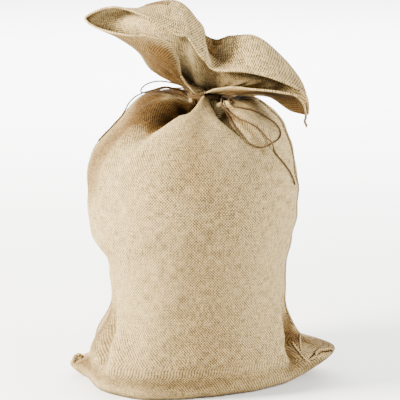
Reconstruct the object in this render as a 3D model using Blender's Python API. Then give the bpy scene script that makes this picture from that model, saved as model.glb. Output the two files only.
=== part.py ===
"""A hessian sack, filled, tied at the neck with twine and standing on a floor.

Metres, +Z up, the front towards -Y. The tables are in millimetres and degrees.

The sack is one closed skin. Rings run round the cloth from its left side seam
(turn 0) over the front (90) to its right side seam (180) and the back (270).
Levels run up the cloth: from the middle of the base, over the belly and the
shoulders, through the tied neck, along the flared mouth to its hem, and back
down the inside of the mouth to the throat.
"""
import math
from collections import namedtuple

import bpy
import numpy as np
from mathutils import Vector
from mathutils.bvhtree import BVHTree

MM = 0.001

# Driving dimensions
CLOTH = 1.5 * MM                 # thickness of the cloth at the open mouth
TWINE = 2.2 * MM                 # diameter of the twine
GAP = 0.35 * MM                  # clearance between solids that touch
NECK_X = 4.0 * MM                # the neck stands a little right of the middle
NECK_RADIUS = 28.0 * MM
TIE_Z = 520.0 * MM
VIEW_TILT = math.radians(13.0)   # the mouth's heights are as seen from this far above
COLUMNS = 84                     # faces round the cloth

# Filled body: one row for each level ring, from the base up to the tie. Half widths
# are measured from the ring's own middle, and each side has its own height.
Ring = namedtuple("Ring", "name middle left right front back z_left z_right z_front z_back "
                          "square skew steps")
BODY = (
    Ring("contact", -16, 168, 158, 136, 146, 0, 0, 0, 0, 2.6, 30, 1),
    Ring("toe", -18, 187, 176, 149, 160, 4, 4, 3, 4, 2.6, 34, 1),
    Ring("heel", -18, 192, 182, 155, 166, 16, 16, 13, 16, 2.6, 34, 2),
    Ring("low", -18, 182, 181, 160, 170, 42, 42, 40, 42, 2.6, 30, 3),
    Ring("cuff", -18, 173, 175, 164, 173, 84, 84, 84, 84, 2.5, 22, 3),
    Ring("shank", -18, 151, 167, 167, 175, 122, 122, 122, 122, 2.4, 14, 3),
    Ring("waist", -18, 149, 166, 172, 178, 180, 180, 180, 180, 2.3, 8, 2),
    Ring("rise", -18, 157, 170, 177, 181, 230, 230, 230, 230, 2.2, 4, 2),
    Ring("swell", -18, 181, 179, 181, 184, 266, 266, 266, 266, 2.15, 0, 3),
    Ring("belly", -18, 190, 189, 186, 187, 340, 340, 340, 340, 2.1, 0, 3),
    Ring("chest", -18, 187, 184, 172, 183, 397, 397, 397, 397, 2.1, 0, 2),
    Ring("shoulder", -17, 166, 174, 146, 168, 437, 437, 437, 437, 2.1, 0, 2),
    Ring("slope", -13, 133, 153, 116, 144, 475, 475, 474, 477, 2.1, 0, 2),
    Ring("top", -7, 119, 122, 87, 112, 503, 501, 494, 503, 2.0, 0, 2),
    Ring("brow", -1, 98, 94, 63, 84, 521, 514, 509, 515, 2.0, 0, 2),
    Ring("crown", 2, 68, 66, 47, 60, 523, 517, 518, 518, 2.0, 0, 1),
    Ring("dimple", 4, 42, 42, 38, 40, 513, 509, 519, 509, 2.0, 0, 1),
    Ring("foot", 4, 30, 30, 31, 30, 508, 507, 510, 507, 2.0, 0, 1),
    Ring("tie", 4, 28, 28, 28, 28, 515.5, 515.5, 515.5, 515.5, 2.0, 0, 1),
)

# Open mouth above the tie: one row for each line of the cloth from the tie to the hem.
# Four points on it are given across, up (as seen from VIEW_TILT above) and in depth.
Line = namedtuple("Line", "turn mid_x mid_up mid_y wall_x wall_up wall_y "
                          "crest_x crest_up crest_y hem_x hem_up hem_y")
MOUTH = (
    Line(0, -92, 556, 22, -122, 588, 14, -168, 618, 8, -210, 641, 4),
    Line(16, -92, 548, 4, -113, 578, -8, -146, 602, -14, -190, 621, -14),
    Line(34, -76, 539, -22, -99, 565, -36, -116, 586, -43, -137, 607, -45),
    Line(50, -52, 530, -36, -72, 554, -51, -84, 577, -58, -92, 604, -60),
    Line(60, -38, 524, -41, -50, 545, -55, -56, 564, -62, -57, 592, -62),
    Line(67, -28, 519, -39, -38, 535, -50, -44, 549, -57, -43, 567, -58),
    Line(77, -15, 511, -34, -22, 515, -40, -29, 521, -44, -36, 533, -47),
    Line(85, -6, 507, -31, -9, 507, -34, -13, 507, -37, -18, 508, -40),
    Line(98, 2, 506, -30, 2, 506, -32, 3, 506, -33, 4, 507, -35),
    Line(108, 12, 506, -33, 14, 507, -37, 17, 508, -42, 19, 512, -48),
    Line(118, 23, 505, -37, 32, 507, -46, 40, 509, -58, 49, 515, -70),
    Line(138, 42, 503, -46, 58, 504, -62, 73, 505, -80, 85, 510, -92),
    Line(158, 74, 502, -44, 98, 503, -64, 120, 501, -82, 139, 503, -96),
    Line(169, 81, 502, -30, 111, 501, -48, 142, 492, -70, 165, 496, -90),
    Line(175, 81, 503, -20, 115, 499, -38, 149, 482, -62, 176, 482, -84),
    Line(181, 82, 505, -8, 118, 500, -20, 156, 474, -54, 180, 467, -74),
    Line(189, 82, 510, -6, 118, 505, -26, 162, 495, -48, 188, 473, -66),
    Line(197, 80, 520, -18, 126, 516, -40, 166, 530, -38, 186, 501, -78),
    Line(205, 74, 521, -26, 122, 524, -44, 151, 558, -22, 164, 516, -86),
    Line(213, 66, 521, -32, 108, 530, -46, 132, 580, -8, 140, 525, -88),
    Line(230, 48, 520, -32, 82, 536, -44, 92, 611, 10, 98, 538, -82),
    Line(246, 30, 519, -24, 46, 545, -34, 50, 611, 18, 51, 548, -66),
    Line(258, 15, 518, -14, 20, 545, -22, 22, 604, 10, 21, 549, -50),
    Line(268, 4, 520, -8, 4, 552, -18, 6, 612, 0, 6, 556, -46),
    Line(278, -6, 526, -4, -12, 572, -18, -8, 634, -2, -8, 576, -47),
    Line(288, -16, 534, 0, -24, 590, -20, -22, 654, 0, -22, 599, -46),
    Line(304, -34, 548, 8, -52, 606, -28, -50, 672, 4, -54, 610, -46),
    Line(320, -54, 556, 16, -88, 618, -20, -90, 667, 8, -98, 639, -36),
    Line(338, -74, 560, 24, -122, 624, -4, -139, 652, 14, -154, 660, -12),
)
MOUTH_STEPS = (1, 3, 3, 3, 3)    # faces from the tie to the collar, mid, wall, crest and hem
COLLAR_Z = 524.8 * MM            # the cloth stands straight up to here before it flares
FUNNEL_FLOOR = 523.0 * MM        # where the gathered cloth closes the funnel
FUNNEL_RINGS = ((0.7, 1.2), (0.36, 0.5))   # share of the throat's width, rise in mm

# Troughs (-) and ridges (+) in the filled body, each along a run from one turn and height
# up the cloth to another. Heights up the cloth start at the base's edge and reach about
# 630 at the tie. The strength fades from the first end to the second.
Fold = namedtuple("Fold", "name turn_a run_a turn_b run_b width height fade")
FOLDS = (
    Fold("left hollow", 56, 592, 47, 500, 24, -58, 0.3),
    Fold("left hollow core", 52, 600, 46, 550, 16, -26, 0.5),
    Fold("left crest", 74, 520, 48, 452, 16, 7, 0.5),
    Fold("left lip", 66, 540, 52, 500, 10, 12, 0.6),
    Fold("right hollow", 118, 604, 133, 462, 15, -42, 0.12),
    Fold("right hollow core", 116, 606, 128, 545, 14, -20, 0.5),
    Fold("apron", 83, 604, 88, 470, 19, 9, 0.3),
    Fold("left side facet", 18, 380, 20, 480, 24, -10, 1.0),
    Fold("left side ridge", 33, 380, 31, 480, 16, 6, 1.0),
    Fold("back hollow", 262, 600, 255, 440, 24, -30, 0.1),
    Fold("back right hollow", 218, 600, 205, 470, 20, -22, 0.1),
    Fold("left panel edge", 46, 74, 37, 168, 18, 9, 0.5),
    Fold("left groove", 32, 84, 22, 168, 20, -46, 0.4),
    Fold("left bulge", 6, 66, 356, 112, 24, 8, 0.5),
    Fold("right panel edge", 150, 70, 154, 160, 16, 8, 0.6),
    Fold("right groove", 163, 88, 165, 160, 12, -38, 0.35),
    Fold("right gusset", 178, 84, 176, 150, 12, 17, 0.15),
    Fold("right valley", 156, 88, 161, 58, 11, -14, 0.5),
    Fold("back gusset", 206, 62, 200, 132, 16, -14, 0.3),
)
FOLD_CENTRE_Z = 400 * MM         # folds above this height stand out upwards as well
FOLD_REACH = 80 * MM             # a fold narrows towards the neck from this radius inwards

# Bottom corners: empty ears of cloth that stand out past the filling.
Ear = namedtuple("Ear", "name turn reach z width below above")
EARS = (
    Ear("left", 358, 35, 22, 10, 26, 10),
    Ear("right", 186, 80, 44, 20, 40, 18),
)

# Pleats that the tie draws into the cloth, and how strong they are at each level.
PLEATS = 16
PLEAT_WANDER = 0.35
PLEAT_HEIGHT = {"top": 0.8, "brow": 1.4, "crown": 1.6, "dimple": 1.6, "foot": 1.0, "tie": 0.5,
                "collar": 0.5, "mid": 1.5}

# Twine: one row for each point that a run passes, across, up (as seen from VIEW_TILT above)
# and in depth. A run starts at the knot behind the neck and lies on the cloth where it meets it.
WRAP_TURNS = 2
WRAP_PITCH = TWINE + GAP
KNOT_CENTRE = (4.0 * MM, 37.0 * MM, 518.0 * MM)
KNOT_HALF = (5.5, 4.6, 6.0)      # half its width, depth and height
KNOT_AROUND = 18
KNOT_LEVELS = 10
KNOT_GROOVE = 0.1
JUTE = (0.16, 0.12, 0.08)
CLOTH_SIDE = None                # depth of a point that lies on the cloth, as seen from the front
Stop = namedtuple("Stop", "x up y")
TWINE_RUNS = {
    "twine_loop_left": (
        Stop(-3, 517, 38), Stop(-24, 520, 36), Stop(-48, 527, 32), Stop(-74, 532, 28),
        Stop(-92, 530, 26), Stop(-106, 524, 26), Stop(-114, 515, 30), Stop(-108, 509, 40),
        Stop(-88, 515, 52), Stop(-60, 519, 56), Stop(-30, 519, 50), Stop(-8, 518, 44)),
    "twine_end_left": (
        Stop(-5, 512, 36), Stop(-24, 512, 30), Stop(-46, 516, 20), Stop(-67, 522, 10),
        Stop(-81, 517, 6), Stop(-95, 513, 4), Stop(-115, 507, 2), Stop(-133, 492, 0),
        Stop(-139, 477, 0), Stop(-149, 462, 0), Stop(-164, 442, 0), Stop(-184, 421, 0)),
    "twine_loop_right": (
        Stop(12, 507, 38), Stop(31, 503, 24), Stop(44, 498, 0), Stop(46, 489, -22),
        Stop(51, 482, CLOTH_SIDE), Stop(64, 480, CLOTH_SIDE), Stop(84, 476, CLOTH_SIDE),
        Stop(108, 465, CLOTH_SIDE), Stop(124, 454, CLOTH_SIDE), Stop(134, 442, CLOTH_SIDE),
        Stop(136, 433, CLOTH_SIDE), Stop(131, 425, CLOTH_SIDE), Stop(121, 418, CLOTH_SIDE),
        Stop(109, 412, CLOTH_SIDE), Stop(96, 408, CLOTH_SIDE), Stop(83, 414, CLOTH_SIDE),
        Stop(71, 425, CLOTH_SIDE), Stop(61, 439, CLOTH_SIDE), Stop(53, 453, CLOTH_SIDE),
        Stop(46, 465, CLOTH_SIDE), Stop(39, 479, CLOTH_SIDE), Stop(36, 490, -29),
        Stop(37, 503, 0), Stop(26, 510, 25), Stop(12, 515, 37)),
    "twine_end_right": (
        Stop(13, 511, 38), Stop(29, 507, 26), Stop(41, 501, 0), Stop(41, 490, -22),
        Stop(45, 476, CLOTH_SIDE), Stop(54, 466, CLOTH_SIDE), Stop(64, 459, CLOTH_SIDE),
        Stop(84, 450, CLOTH_SIDE), Stop(101, 439, CLOTH_SIDE), Stop(115, 418, CLOTH_SIDE),
        Stop(127, 397, CLOTH_SIDE), Stop(146, 376, CLOTH_SIDE), Stop(157, 358, CLOTH_SIDE),
        Stop(161, 346, CLOTH_SIDE)),
}
TWINE_STEP = 3 * TWINE           # spacing of the points along a run
LAY_PASSES = 30                  # rounds of clearing the cloth and easing the bends
HUMP_WIDTH = 9.0 * MM            # how far a run rises before and after one that it crosses


def smooth_weights(turn):
    """Shares of the left, right, front and back at a turn; they add up to one."""
    across = np.cos(turn)
    along = np.sin(turn)
    return (np.clip(across, 0, 1) ** 2, np.clip(-across, 0, 1) ** 2,
            np.clip(along, 0, 1) ** 2, np.clip(-along, 0, 1) ** 2)


def ring_run(ring):
    """Height up the cloth of a level ring, in metres, along the mean of its four sides."""
    run = 0
    for low, high in zip(BODY, BODY[1:]):
        if low is ring:
            break
        wider = (high.left + high.right + high.front + high.back
                 - low.left - low.right - low.front - low.back) / 4
        higher = (high.z_left + high.z_right + high.z_front + high.z_back
                  - low.z_left - low.z_right - low.z_front - low.z_back) / 4
        run += math.hypot(wider, higher) * MM
    return run


def fold_relief(turn, run, radius):
    """Sum of the body's folds, in metres: a soft bell across each fold's run."""
    relief = np.zeros_like(turn)
    for fold in FOLDS:
        middle = math.radians(fold.turn_a)
        reach = np.maximum(radius, FOLD_REACH)
        away = np.angle(np.exp(1j * (turn - middle))) * reach
        across = math.radians(fold.turn_b - fold.turn_a) * reach
        rise = (fold.run_b - fold.run_a) * MM
        up = run - fold.run_a * MM
        along = np.clip((away * across + up * rise) / (across ** 2 + rise ** 2), 0, 1)
        distance = np.hypot(away - along * across, up - along * rise)
        strength = 1 - (1 - fold.fade) * along
        relief += fold.height * MM * strength * np.exp(-(distance / (fold.width * MM)) ** 2)
    return relief


def ear_relief(turn, z):
    """How far the two empty bottom corners stand out, in metres."""
    relief = np.zeros_like(turn)
    for ear in EARS:
        away = np.angle(np.exp(1j * (turn - math.radians(ear.turn))))
        spread = np.exp(-(away / math.radians(ear.width)) ** 2)
        level = z - ear.z * MM
        height = np.where(level < 0, ear.below, ear.above) * MM
        relief += ear.reach * MM * spread * np.exp(-(level / height) ** 2)
    return relief


def pleat_wave(turn):
    """Uneven pleats round the neck, between -1 and 1."""
    wander = PLEAT_WANDER * (np.sin(3 * turn + 0.6) + 0.7 * np.sin(5 * turn + 2.1))
    return np.cos(PLEATS * turn + wander * 2)


def body_ring(ring, turn):
    """Points of one level of the filled body: a squared oval with folds, ears and pleats."""
    left, right, front, back = smooth_weights(turn)
    z = (left * ring.z_left + right * ring.z_right + front * ring.z_front + back * ring.z_back) * MM
    across = np.cos(turn)
    along = np.sin(turn)
    half_x = np.where(across > 0, ring.left, ring.right) * MM
    half_y = np.where(along > 0, ring.front + ring.skew * across, ring.back) * MM
    square = ring.square
    radius = (np.abs(across / half_x) ** square + np.abs(along / half_y) ** square) ** (-1 / square)
    relief = fold_relief(turn, ring_run(ring), radius)
    relief = relief + PLEAT_HEIGHT.get(ring.name, 0) * MM * pleat_wave(turn)
    lean = np.arctan2(np.maximum(z - FOLD_CENTRE_Z, 0), radius)
    radius = radius + ear_relief(turn, z) + relief * np.cos(lean)
    z = z + relief * np.sin(lean)
    return np.stack((ring.middle * MM - radius * across, -radius * along, z), axis=-1)


def round_spline(knots, values, turn):
    """Periodic Catmull-Rom curve through one value for each knot angle."""
    knots = np.radians(np.asarray(knots, float))
    values = np.asarray(values, float)
    count = len(knots)
    order = np.arange(-2, count + 2)
    lap = order // count
    angle = knots[order % count] + lap * 2 * math.pi
    value = values[order % count]
    slope = np.gradient(value, angle)
    turn = np.mod(turn - angle[2], 2 * math.pi) + angle[2]
    place = np.clip(np.searchsorted(angle, turn, side="right") - 1, 0, len(angle) - 2)
    span = angle[place + 1] - angle[place]
    t = (turn - angle[place]) / span
    return ((2 * t ** 3 - 3 * t ** 2 + 1) * value[place]
            + (t ** 3 - 2 * t ** 2 + t) * span * slope[place]
            + (3 * t ** 2 - 2 * t ** 3) * value[place + 1]
            + (t ** 3 - t ** 2) * span * slope[place + 1])


def mouth_rings(turn):
    """Collar, mid, wall, crest and hem rings of the open mouth."""
    knots = [line.turn for line in MOUTH]
    rings = []
    for place in ("mid", "wall", "crest", "hem"):
        x = round_spline(knots, [getattr(line, place + "_x") for line in MOUTH], turn) * MM
        up = round_spline(knots, [getattr(line, place + "_up") for line in MOUTH], turn) * MM
        y = round_spline(knots, [getattr(line, place + "_y") for line in MOUTH], turn) * MM
        z = (up - y * math.sin(VIEW_TILT)) / math.cos(VIEW_TILT)
        if place == "mid":
            wave = PLEAT_HEIGHT["mid"] * MM * pleat_wave(turn)
            x = x - wave * np.cos(turn)
            y = y - wave * np.sin(turn)
        rings.append(np.stack((x, y, z), axis=-1))
    reach = NECK_RADIUS + PLEAT_HEIGHT["collar"] * MM * pleat_wave(turn)
    collar = np.stack((NECK_X - reach * np.cos(turn), -reach * np.sin(turn),
                       np.full_like(turn, COLLAR_Z)), axis=-1)
    return [collar] + rings


def run_spline(rings, steps):
    """Centripetal curve up the cloth through every control ring.

    Steps gives the number of faces between a ring and the next one.
    """
    points = np.stack(rings)
    chord = np.linalg.norm(np.diff(points, axis=0), axis=-1, keepdims=True)
    chord = np.sqrt(np.maximum(chord, 1e-7))
    slope = np.diff(points, axis=0) / chord
    tangent = np.empty_like(points)
    tangent[1:-1] = (slope[:-1] * chord[1:] + slope[1:] * chord[:-1]) / (chord[1:] + chord[:-1])
    tangent[0] = slope[0]
    tangent[-1] = slope[-1]
    levels = [points[0]]
    for k, count in enumerate(steps):
        for step in range(1, count + 1):
            t = step / count
            levels.append((2 * t ** 3 - 3 * t ** 2 + 1) * points[k]
                          + (t ** 3 - 2 * t ** 2 + t) * chord[k] * tangent[k]
                          + (3 * t ** 2 - 2 * t ** 3) * points[k + 1]
                          + (t ** 3 - t ** 2) * chord[k] * tangent[k + 1])
    return np.stack(levels)


def grid_normals(levels):
    """Outward directions of the cloth at every point of the grid."""
    round_way = np.roll(levels, -1, axis=1) - np.roll(levels, 1, axis=1)
    up_way = np.gradient(levels, axis=0)
    normal = np.cross(round_way, up_way)
    return normal / np.maximum(np.linalg.norm(normal, axis=-1, keepdims=True), 1e-12)


def sack_levels():
    """Every ring of the sack's skin, from the base to the funnel's floor."""
    turn = np.arange(COLUMNS) * 2 * math.pi / COLUMNS
    rings = [body_ring(ring, turn) for ring in BODY] + mouth_rings(turn)
    steps = [ring.steps for ring in BODY[:-1]] + list(MOUTH_STEPS)
    outer = run_spline(rings, steps)
    outer[..., 2] = np.maximum(outer[..., 2], 0)
    inner_count = sum(MOUTH_STEPS) - MOUTH_STEPS[0]
    normals = grid_normals(outer)
    inner = (outer - CLOTH * normals)[-1:-inner_count - 2:-1]
    throat = inner[-1]
    centre = np.array((NECK_X, 0, FUNNEL_FLOOR))
    funnel = []
    for share, rise in FUNNEL_RINGS:
        ring = centre + (throat - centre) * share
        ring[:, 2] = FUNNEL_FLOOR + rise * MM
        funnel.append(ring)
    return list(outer) + list(inner) + funnel


def skin_mesh(name, levels, first_pole, last_pole):
    """Closed mesh of rings with a pole at each end, faces pointing out."""
    count = len(levels[0])
    points = [tuple(first_pole)]
    for ring in levels:
        points.extend(map(tuple, ring))
    points.append(tuple(last_pole))
    faces = []
    for k in range(count):
        faces.append((0, 1 + (k + 1) % count, 1 + k))
    for row in range(len(levels) - 1):
        low = 1 + row * count
        high = low + count
        for k in range(count):
            after = (k + 1) % count
            faces.append((low + k, low + after, high + after, high + k))
    top = 1 + (len(levels) - 1) * count
    for k in range(count):
        faces.append((top + k, top + (k + 1) % count, len(points) - 1))
    mesh = bpy.data.meshes.new(name)
    mesh.from_pydata(points, [], faces)
    mesh.shade_smooth()
    return mesh


def material(name, colour, roughness):
    """Plain surface of one colour."""
    finish = bpy.data.materials.new(name)
    finish.use_nodes = True
    shader = finish.node_tree.nodes["Principled BSDF"]
    shader.inputs["Base Color"].default_value = (*colour, 1)
    shader.inputs["Roughness"].default_value = roughness
    shader.inputs["Metallic"].default_value = 0
    return finish


def add_object(name, data, finish):
    """Named object in the scene with its own material."""
    thing = bpy.data.objects.new(name, data)
    data.materials.append(finish)
    bpy.context.collection.objects.link(thing)
    return thing


def build_sack():
    """The whole sack as one solid."""
    levels = sack_levels()
    mesh = skin_mesh("sack", levels, (levels[0][:, 0].mean(), levels[0][:, 1].mean(), 0),
                     (NECK_X, 0, FUNNEL_FLOOR))
    return add_object("sack", mesh, material("hessian", (0.52, 0.41, 0.27), 0.9))


def seen_point(x, up, y):
    """A place given across, up as seen from VIEW_TILT above, and in depth."""
    return Vector((x * MM, y * MM, (up - y * math.sin(VIEW_TILT)) / math.cos(VIEW_TILT) * MM))


def stop_point(tree, stop):
    """Where a run passes: a place in the open, or the cloth's front side behind it."""
    if stop.y is not CLOTH_SIDE:
        return seen_point(*stop)
    start = seen_point(stop.x, stop.up, -1000)
    ahead = Vector((0, math.cos(VIEW_TILT), -math.sin(VIEW_TILT)))
    return tree.ray_cast(start, ahead)[0]


def smooth_route(points, step):
    """Points a step apart on a smooth curve through the given ones."""
    points = np.array(points)
    padded = np.vstack((2 * points[0] - points[1], points, 2 * points[-1] - points[-2]))
    fine = []
    for k in range(len(points) - 1):
        before, start, end, after = padded[k:k + 4]
        for t in np.linspace(0, 1, 24, endpoint=False):
            fine.append(0.5 * (2 * start + (end - before) * t
                               + (2 * before - 5 * start + 4 * end - after) * t ** 2
                               + (3 * start - before - 3 * end + after) * t ** 3))
    fine = np.array(fine + [points[-1]])
    distance = np.concatenate(([0], np.cumsum(np.linalg.norm(np.diff(fine, axis=0), axis=1))))
    marks = np.linspace(0, distance[-1], max(3, round(distance[-1] / step)) + 1)
    return np.stack([np.interp(marks, distance, fine[:, axis]) for axis in range(3)], axis=-1)


def clear_of(tree, route, clearance):
    """The route with each point that is too near the cloth, or inside it, moved out."""
    moved = []
    for point, room in zip(route, np.broadcast_to(clearance, len(route))):
        near, normal, _, distance = tree.find_nearest(Vector(point))
        side = (Vector(point) - near).dot(normal)
        if side < 0 or distance < room:
            point = near + normal * room
        moved.append(tuple(point))
    return np.array(moved)


def crossing_lift(route, laid):
    """How far each point rises to pass over the runs laid before it, as a low hump."""
    lift = np.zeros(len(route))
    for other in laid:
        distance = np.linalg.norm(route[:, None] - other[None], axis=-1).min(axis=1)
        hump = (TWINE + 2 * GAP) * np.exp(-(distance / HUMP_WIDTH) ** 4)
        lift = np.maximum(lift, hump)
    return lift


def apart(route, laid):
    """The route with each point that is too near an earlier run moved away from it."""
    room = TWINE + 3 * GAP
    for other in laid:
        marks = np.linspace(0, len(other) - 1, 8 * len(other))
        dense = np.stack([np.interp(marks, np.arange(len(other)), other[:, axis])
                          for axis in range(3)], axis=-1)
        away = route[:, None] - dense[None]
        distance = np.linalg.norm(away, axis=-1)
        near = distance.argmin(axis=1)
        rows = np.arange(len(route))
        gap = np.maximum(distance[rows, near], 1e-6)
        push = np.maximum(room - gap, 0) / gap
        route = route + away[rows, near] * push[:, None]
    return route


def laid_route(tree, stops, laid):
    """A run of twine that lies on the cloth, and over the runs that it crosses."""
    clearance = TWINE / 2 + 4 * GAP
    route = smooth_route([stop_point(tree, stop) for stop in stops], TWINE_STEP / 3)
    for _ in range(LAY_PASSES):
        route = clear_of(tree, route, clearance)
        route[1:-1] = (route[:-2] + 2 * route[1:-1] + route[2:]) / 4
    lift = crossing_lift(route, laid)
    route = apart(clear_of(tree, route, clearance + lift), laid)
    return np.vstack((route[:-1:3], route[-1:]))


def tube(name, points, radius, finish):
    """Round twine along a list of points, with closed ends."""
    curve = bpy.data.curves.new(name, "CURVE")
    curve.dimensions = "3D"
    curve.bevel_depth = radius
    curve.bevel_resolution = 2
    curve.use_fill_caps = True
    spline = curve.splines.new("POLY")
    spline.points.add(len(points) - 1)
    for slot, point in zip(spline.points, points):
        slot.co = (*point, 1)
    return add_object(name, curve, finish)


def build_wrap(finish):
    """Two turns of twine round the neck, in the groove that it draws into the cloth."""
    turns = WRAP_TURNS * 28
    radius = NECK_RADIUS + PLEAT_HEIGHT["tie"] * MM + TWINE / 2 + GAP
    points = []
    for k in range(turns + 1):
        angle = 2 * math.pi * k / 28 * (turns - 1) / turns + math.pi / 2
        rise = (k / turns - 0.5) * WRAP_TURNS * WRAP_PITCH
        points.append((NECK_X + radius * math.cos(angle), radius * math.sin(angle),
                       TIE_Z + rise))
    return tube("tie_wrap", points, TWINE / 2, finish)


def build_knot(finish):
    """Knot of the bow behind the neck: a rounded lump with the grooves of its strands."""
    around = np.arange(KNOT_AROUND) * 2 * math.pi / KNOT_AROUND
    levels = []
    for k in range(1, KNOT_LEVELS):
        polar = math.pi * k / KNOT_LEVELS
        groove = 1 + KNOT_GROOVE * np.cos(3 * around + 2 * polar)
        ring = np.stack((KNOT_HALF[0] * math.cos(polar) * np.ones(KNOT_AROUND),
                         KNOT_HALF[1] * math.sin(polar) * groove * np.cos(around),
                         KNOT_HALF[2] * math.sin(polar) * groove * np.sin(around)), axis=-1)
        levels.append(ring * MM + KNOT_CENTRE)
    centre = np.array(KNOT_CENTRE)
    along = np.array((KNOT_HALF[0] * MM, 0, 0))
    mesh = skin_mesh("tie_knot", levels[::-1], centre - along, centre + along)
    return add_object("tie_knot", mesh, finish)


def build_twine(sack):
    """The loops and free ends of the bow, each a run of its own."""
    tree = BVHTree.FromPolygons([v.co for v in sack.data.vertices],
                                [p.vertices for p in sack.data.polygons])
    laid = []
    for name, stops in TWINE_RUNS.items():
        route = laid_route(tree, stops, laid)
        laid.append(route)
        tube(name, route, TWINE / 2, material("jute_" + name, JUTE, 0.85))


def main():
    for old in list(bpy.data.objects):
        bpy.data.objects.remove(old)
    sack = build_sack()
    build_wrap(material("jute_wrap", JUTE, 0.85))
    build_knot(material("jute_knot", JUTE, 0.85))
    build_twine(sack)


main()
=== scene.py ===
"""The looks of a filled hessian sack that is tied at the neck with twine.

The sack is one sheet of cloth worked out on a grid. Its columns run round the cloth, counted by
the turn from the left side seam (0) over the front (90) to the right side seam (180) and the back
(270). Its rows run up the cloth, from the middle of the base to the hem of the open mouth. The
twine lies on that cloth. Tables are in millimetres and degrees, everything else in metres, +Z up
and the front towards -Y.
"""
import logging
import math
from dataclasses import dataclass, field
from enum import Enum
from typing import NamedTuple, Sequence

import bpy
import numpy as np
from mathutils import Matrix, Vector
from mathutils.bvhtree import BVHTree

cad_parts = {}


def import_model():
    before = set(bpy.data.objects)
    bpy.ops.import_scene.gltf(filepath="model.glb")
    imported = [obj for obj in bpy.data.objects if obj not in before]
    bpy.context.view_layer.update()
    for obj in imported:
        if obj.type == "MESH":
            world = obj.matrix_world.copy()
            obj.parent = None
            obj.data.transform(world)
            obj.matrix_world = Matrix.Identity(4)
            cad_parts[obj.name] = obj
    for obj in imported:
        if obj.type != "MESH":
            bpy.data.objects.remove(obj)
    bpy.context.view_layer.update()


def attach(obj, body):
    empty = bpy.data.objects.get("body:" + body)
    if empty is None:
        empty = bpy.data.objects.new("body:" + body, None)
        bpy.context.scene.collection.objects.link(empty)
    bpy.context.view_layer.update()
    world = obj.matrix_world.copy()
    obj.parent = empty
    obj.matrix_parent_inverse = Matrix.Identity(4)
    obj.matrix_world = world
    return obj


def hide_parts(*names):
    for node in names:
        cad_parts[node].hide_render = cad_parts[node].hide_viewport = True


LOG = logging.getLogger("sack")
MM = 0.001
VIEW_TILT = math.radians(13.0)
CLOTH_SIDE = None
RAY_START = -1000.0
ROUTE_PARTS = 24
TINY = 1e-12


class Ring(NamedTuple):
    """One level of the filled body: half widths from its middle and a height for each side."""

    name: str
    middle: float
    left: float
    right: float
    front: float
    back: float
    z_left: float
    z_right: float
    z_front: float
    z_back: float
    square: float
    skew: float


class Line(NamedTuple):
    """One line of the open mouth from the tie to the hem, by four points across, up and deep."""

    turn: float
    mid_x: float
    mid_up: float
    mid_y: float
    wall_x: float
    wall_up: float
    wall_y: float
    crest_x: float
    crest_up: float
    crest_y: float
    hem_x: float
    hem_up: float
    hem_y: float


class Fold(NamedTuple):
    """A trough (-) or ridge (+) along a run from one turn and height up the cloth to another.

    The tone is painted shade (+) or painted light (-) along it.
    """

    name: str
    turn_a: float
    run_a: float
    turn_b: float
    run_b: float
    width: float
    height: float
    fade: float
    tone: float = 0.0


class Ear(NamedTuple):
    """An empty bottom corner that stands out past the filling."""

    name: str
    turn: float
    reach: float
    z: float
    width: float
    below: float
    above: float


class Stop(NamedTuple):
    """A point that a run passes: across, up as seen from the front, and in depth.

    Without a depth of its own it is on the cloth's front side.
    """

    x: float
    up: float
    y: float | None = CLOTH_SIDE


class Dent(NamedTuple):
    """A product of two sine waves over the body, each by waves round it and radians a metre up."""

    size: float
    waves: float
    rise: float
    cross_waves: float
    cross_rise: float
    start: float


class Mark(NamedTuple):
    """A place on the body by its turn and its run up the cloth."""

    turn: float
    run: float


class Roll(NamedTuple):
    """A roll or pinch of cloth along the points it passes, with its width and height.

    The tones are painted shade (+) or painted light (-) on its crest and its two flanks. It lies
    on the cloth where its stops do, and stands free where they have a depth of their own.
    """

    name: str
    width: float
    height: float
    crest: float
    flank: float
    stops: tuple[Stop, ...]


BODY = (
    Ring("contact", -16, 168, 158, 136, 146, 0, 0, 0, 0, 2.6, 30),
    Ring("toe", -18, 187, 176, 149, 160, 4, 4, 3, 4, 2.6, 34),
    Ring("heel", -18, 192, 182, 155, 166, 16, 16, 13, 16, 2.6, 34),
    Ring("low", -18, 182, 181, 160, 170, 42, 42, 40, 42, 2.6, 30),
    Ring("cuff", -18, 173, 175, 164, 173, 84, 84, 84, 84, 2.5, 22),
    Ring("shank", -18, 151, 167, 167, 175, 122, 122, 122, 122, 2.4, 14),
    Ring("waist", -18, 149, 166, 172, 178, 180, 180, 180, 180, 2.3, 8),
    Ring("rise", -18, 157, 170, 177, 181, 230, 230, 230, 230, 2.2, 4),
    Ring("swell", -18, 181, 179, 181, 184, 266, 266, 266, 266, 2.15, 0),
    Ring("belly", -18, 190, 189, 186, 187, 340, 340, 340, 340, 2.1, 0),
    Ring("chest", -18, 187, 184, 172, 183, 397, 397, 397, 397, 2.1, 0),
    Ring("shoulder", -17, 166, 174, 146, 168, 437, 437, 437, 437, 2.1, 0),
    Ring("slope", -13, 133, 153, 116, 144, 475, 475, 474, 477, 2.1, 0),
    Ring("top", -7, 119, 122, 87, 112, 503, 501, 494, 503, 2.0, 0),
    Ring("brow", -1, 98, 94, 63, 84, 521, 514, 509, 515, 2.0, 0),
    Ring("crown", 2, 68, 66, 47, 60, 523, 517, 518, 518, 2.0, 0),
    Ring("dimple", 4, 42, 42, 38, 40, 513, 509, 519, 509, 2.0, 0),
    Ring("foot", 4, 30, 30, 31, 30, 508, 507, 510, 507, 2.0, 0),
    Ring("tie", 4, 28, 28, 28, 28, 515.5, 515.5, 515.5, 515.5, 2.0, 0),
)

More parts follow.
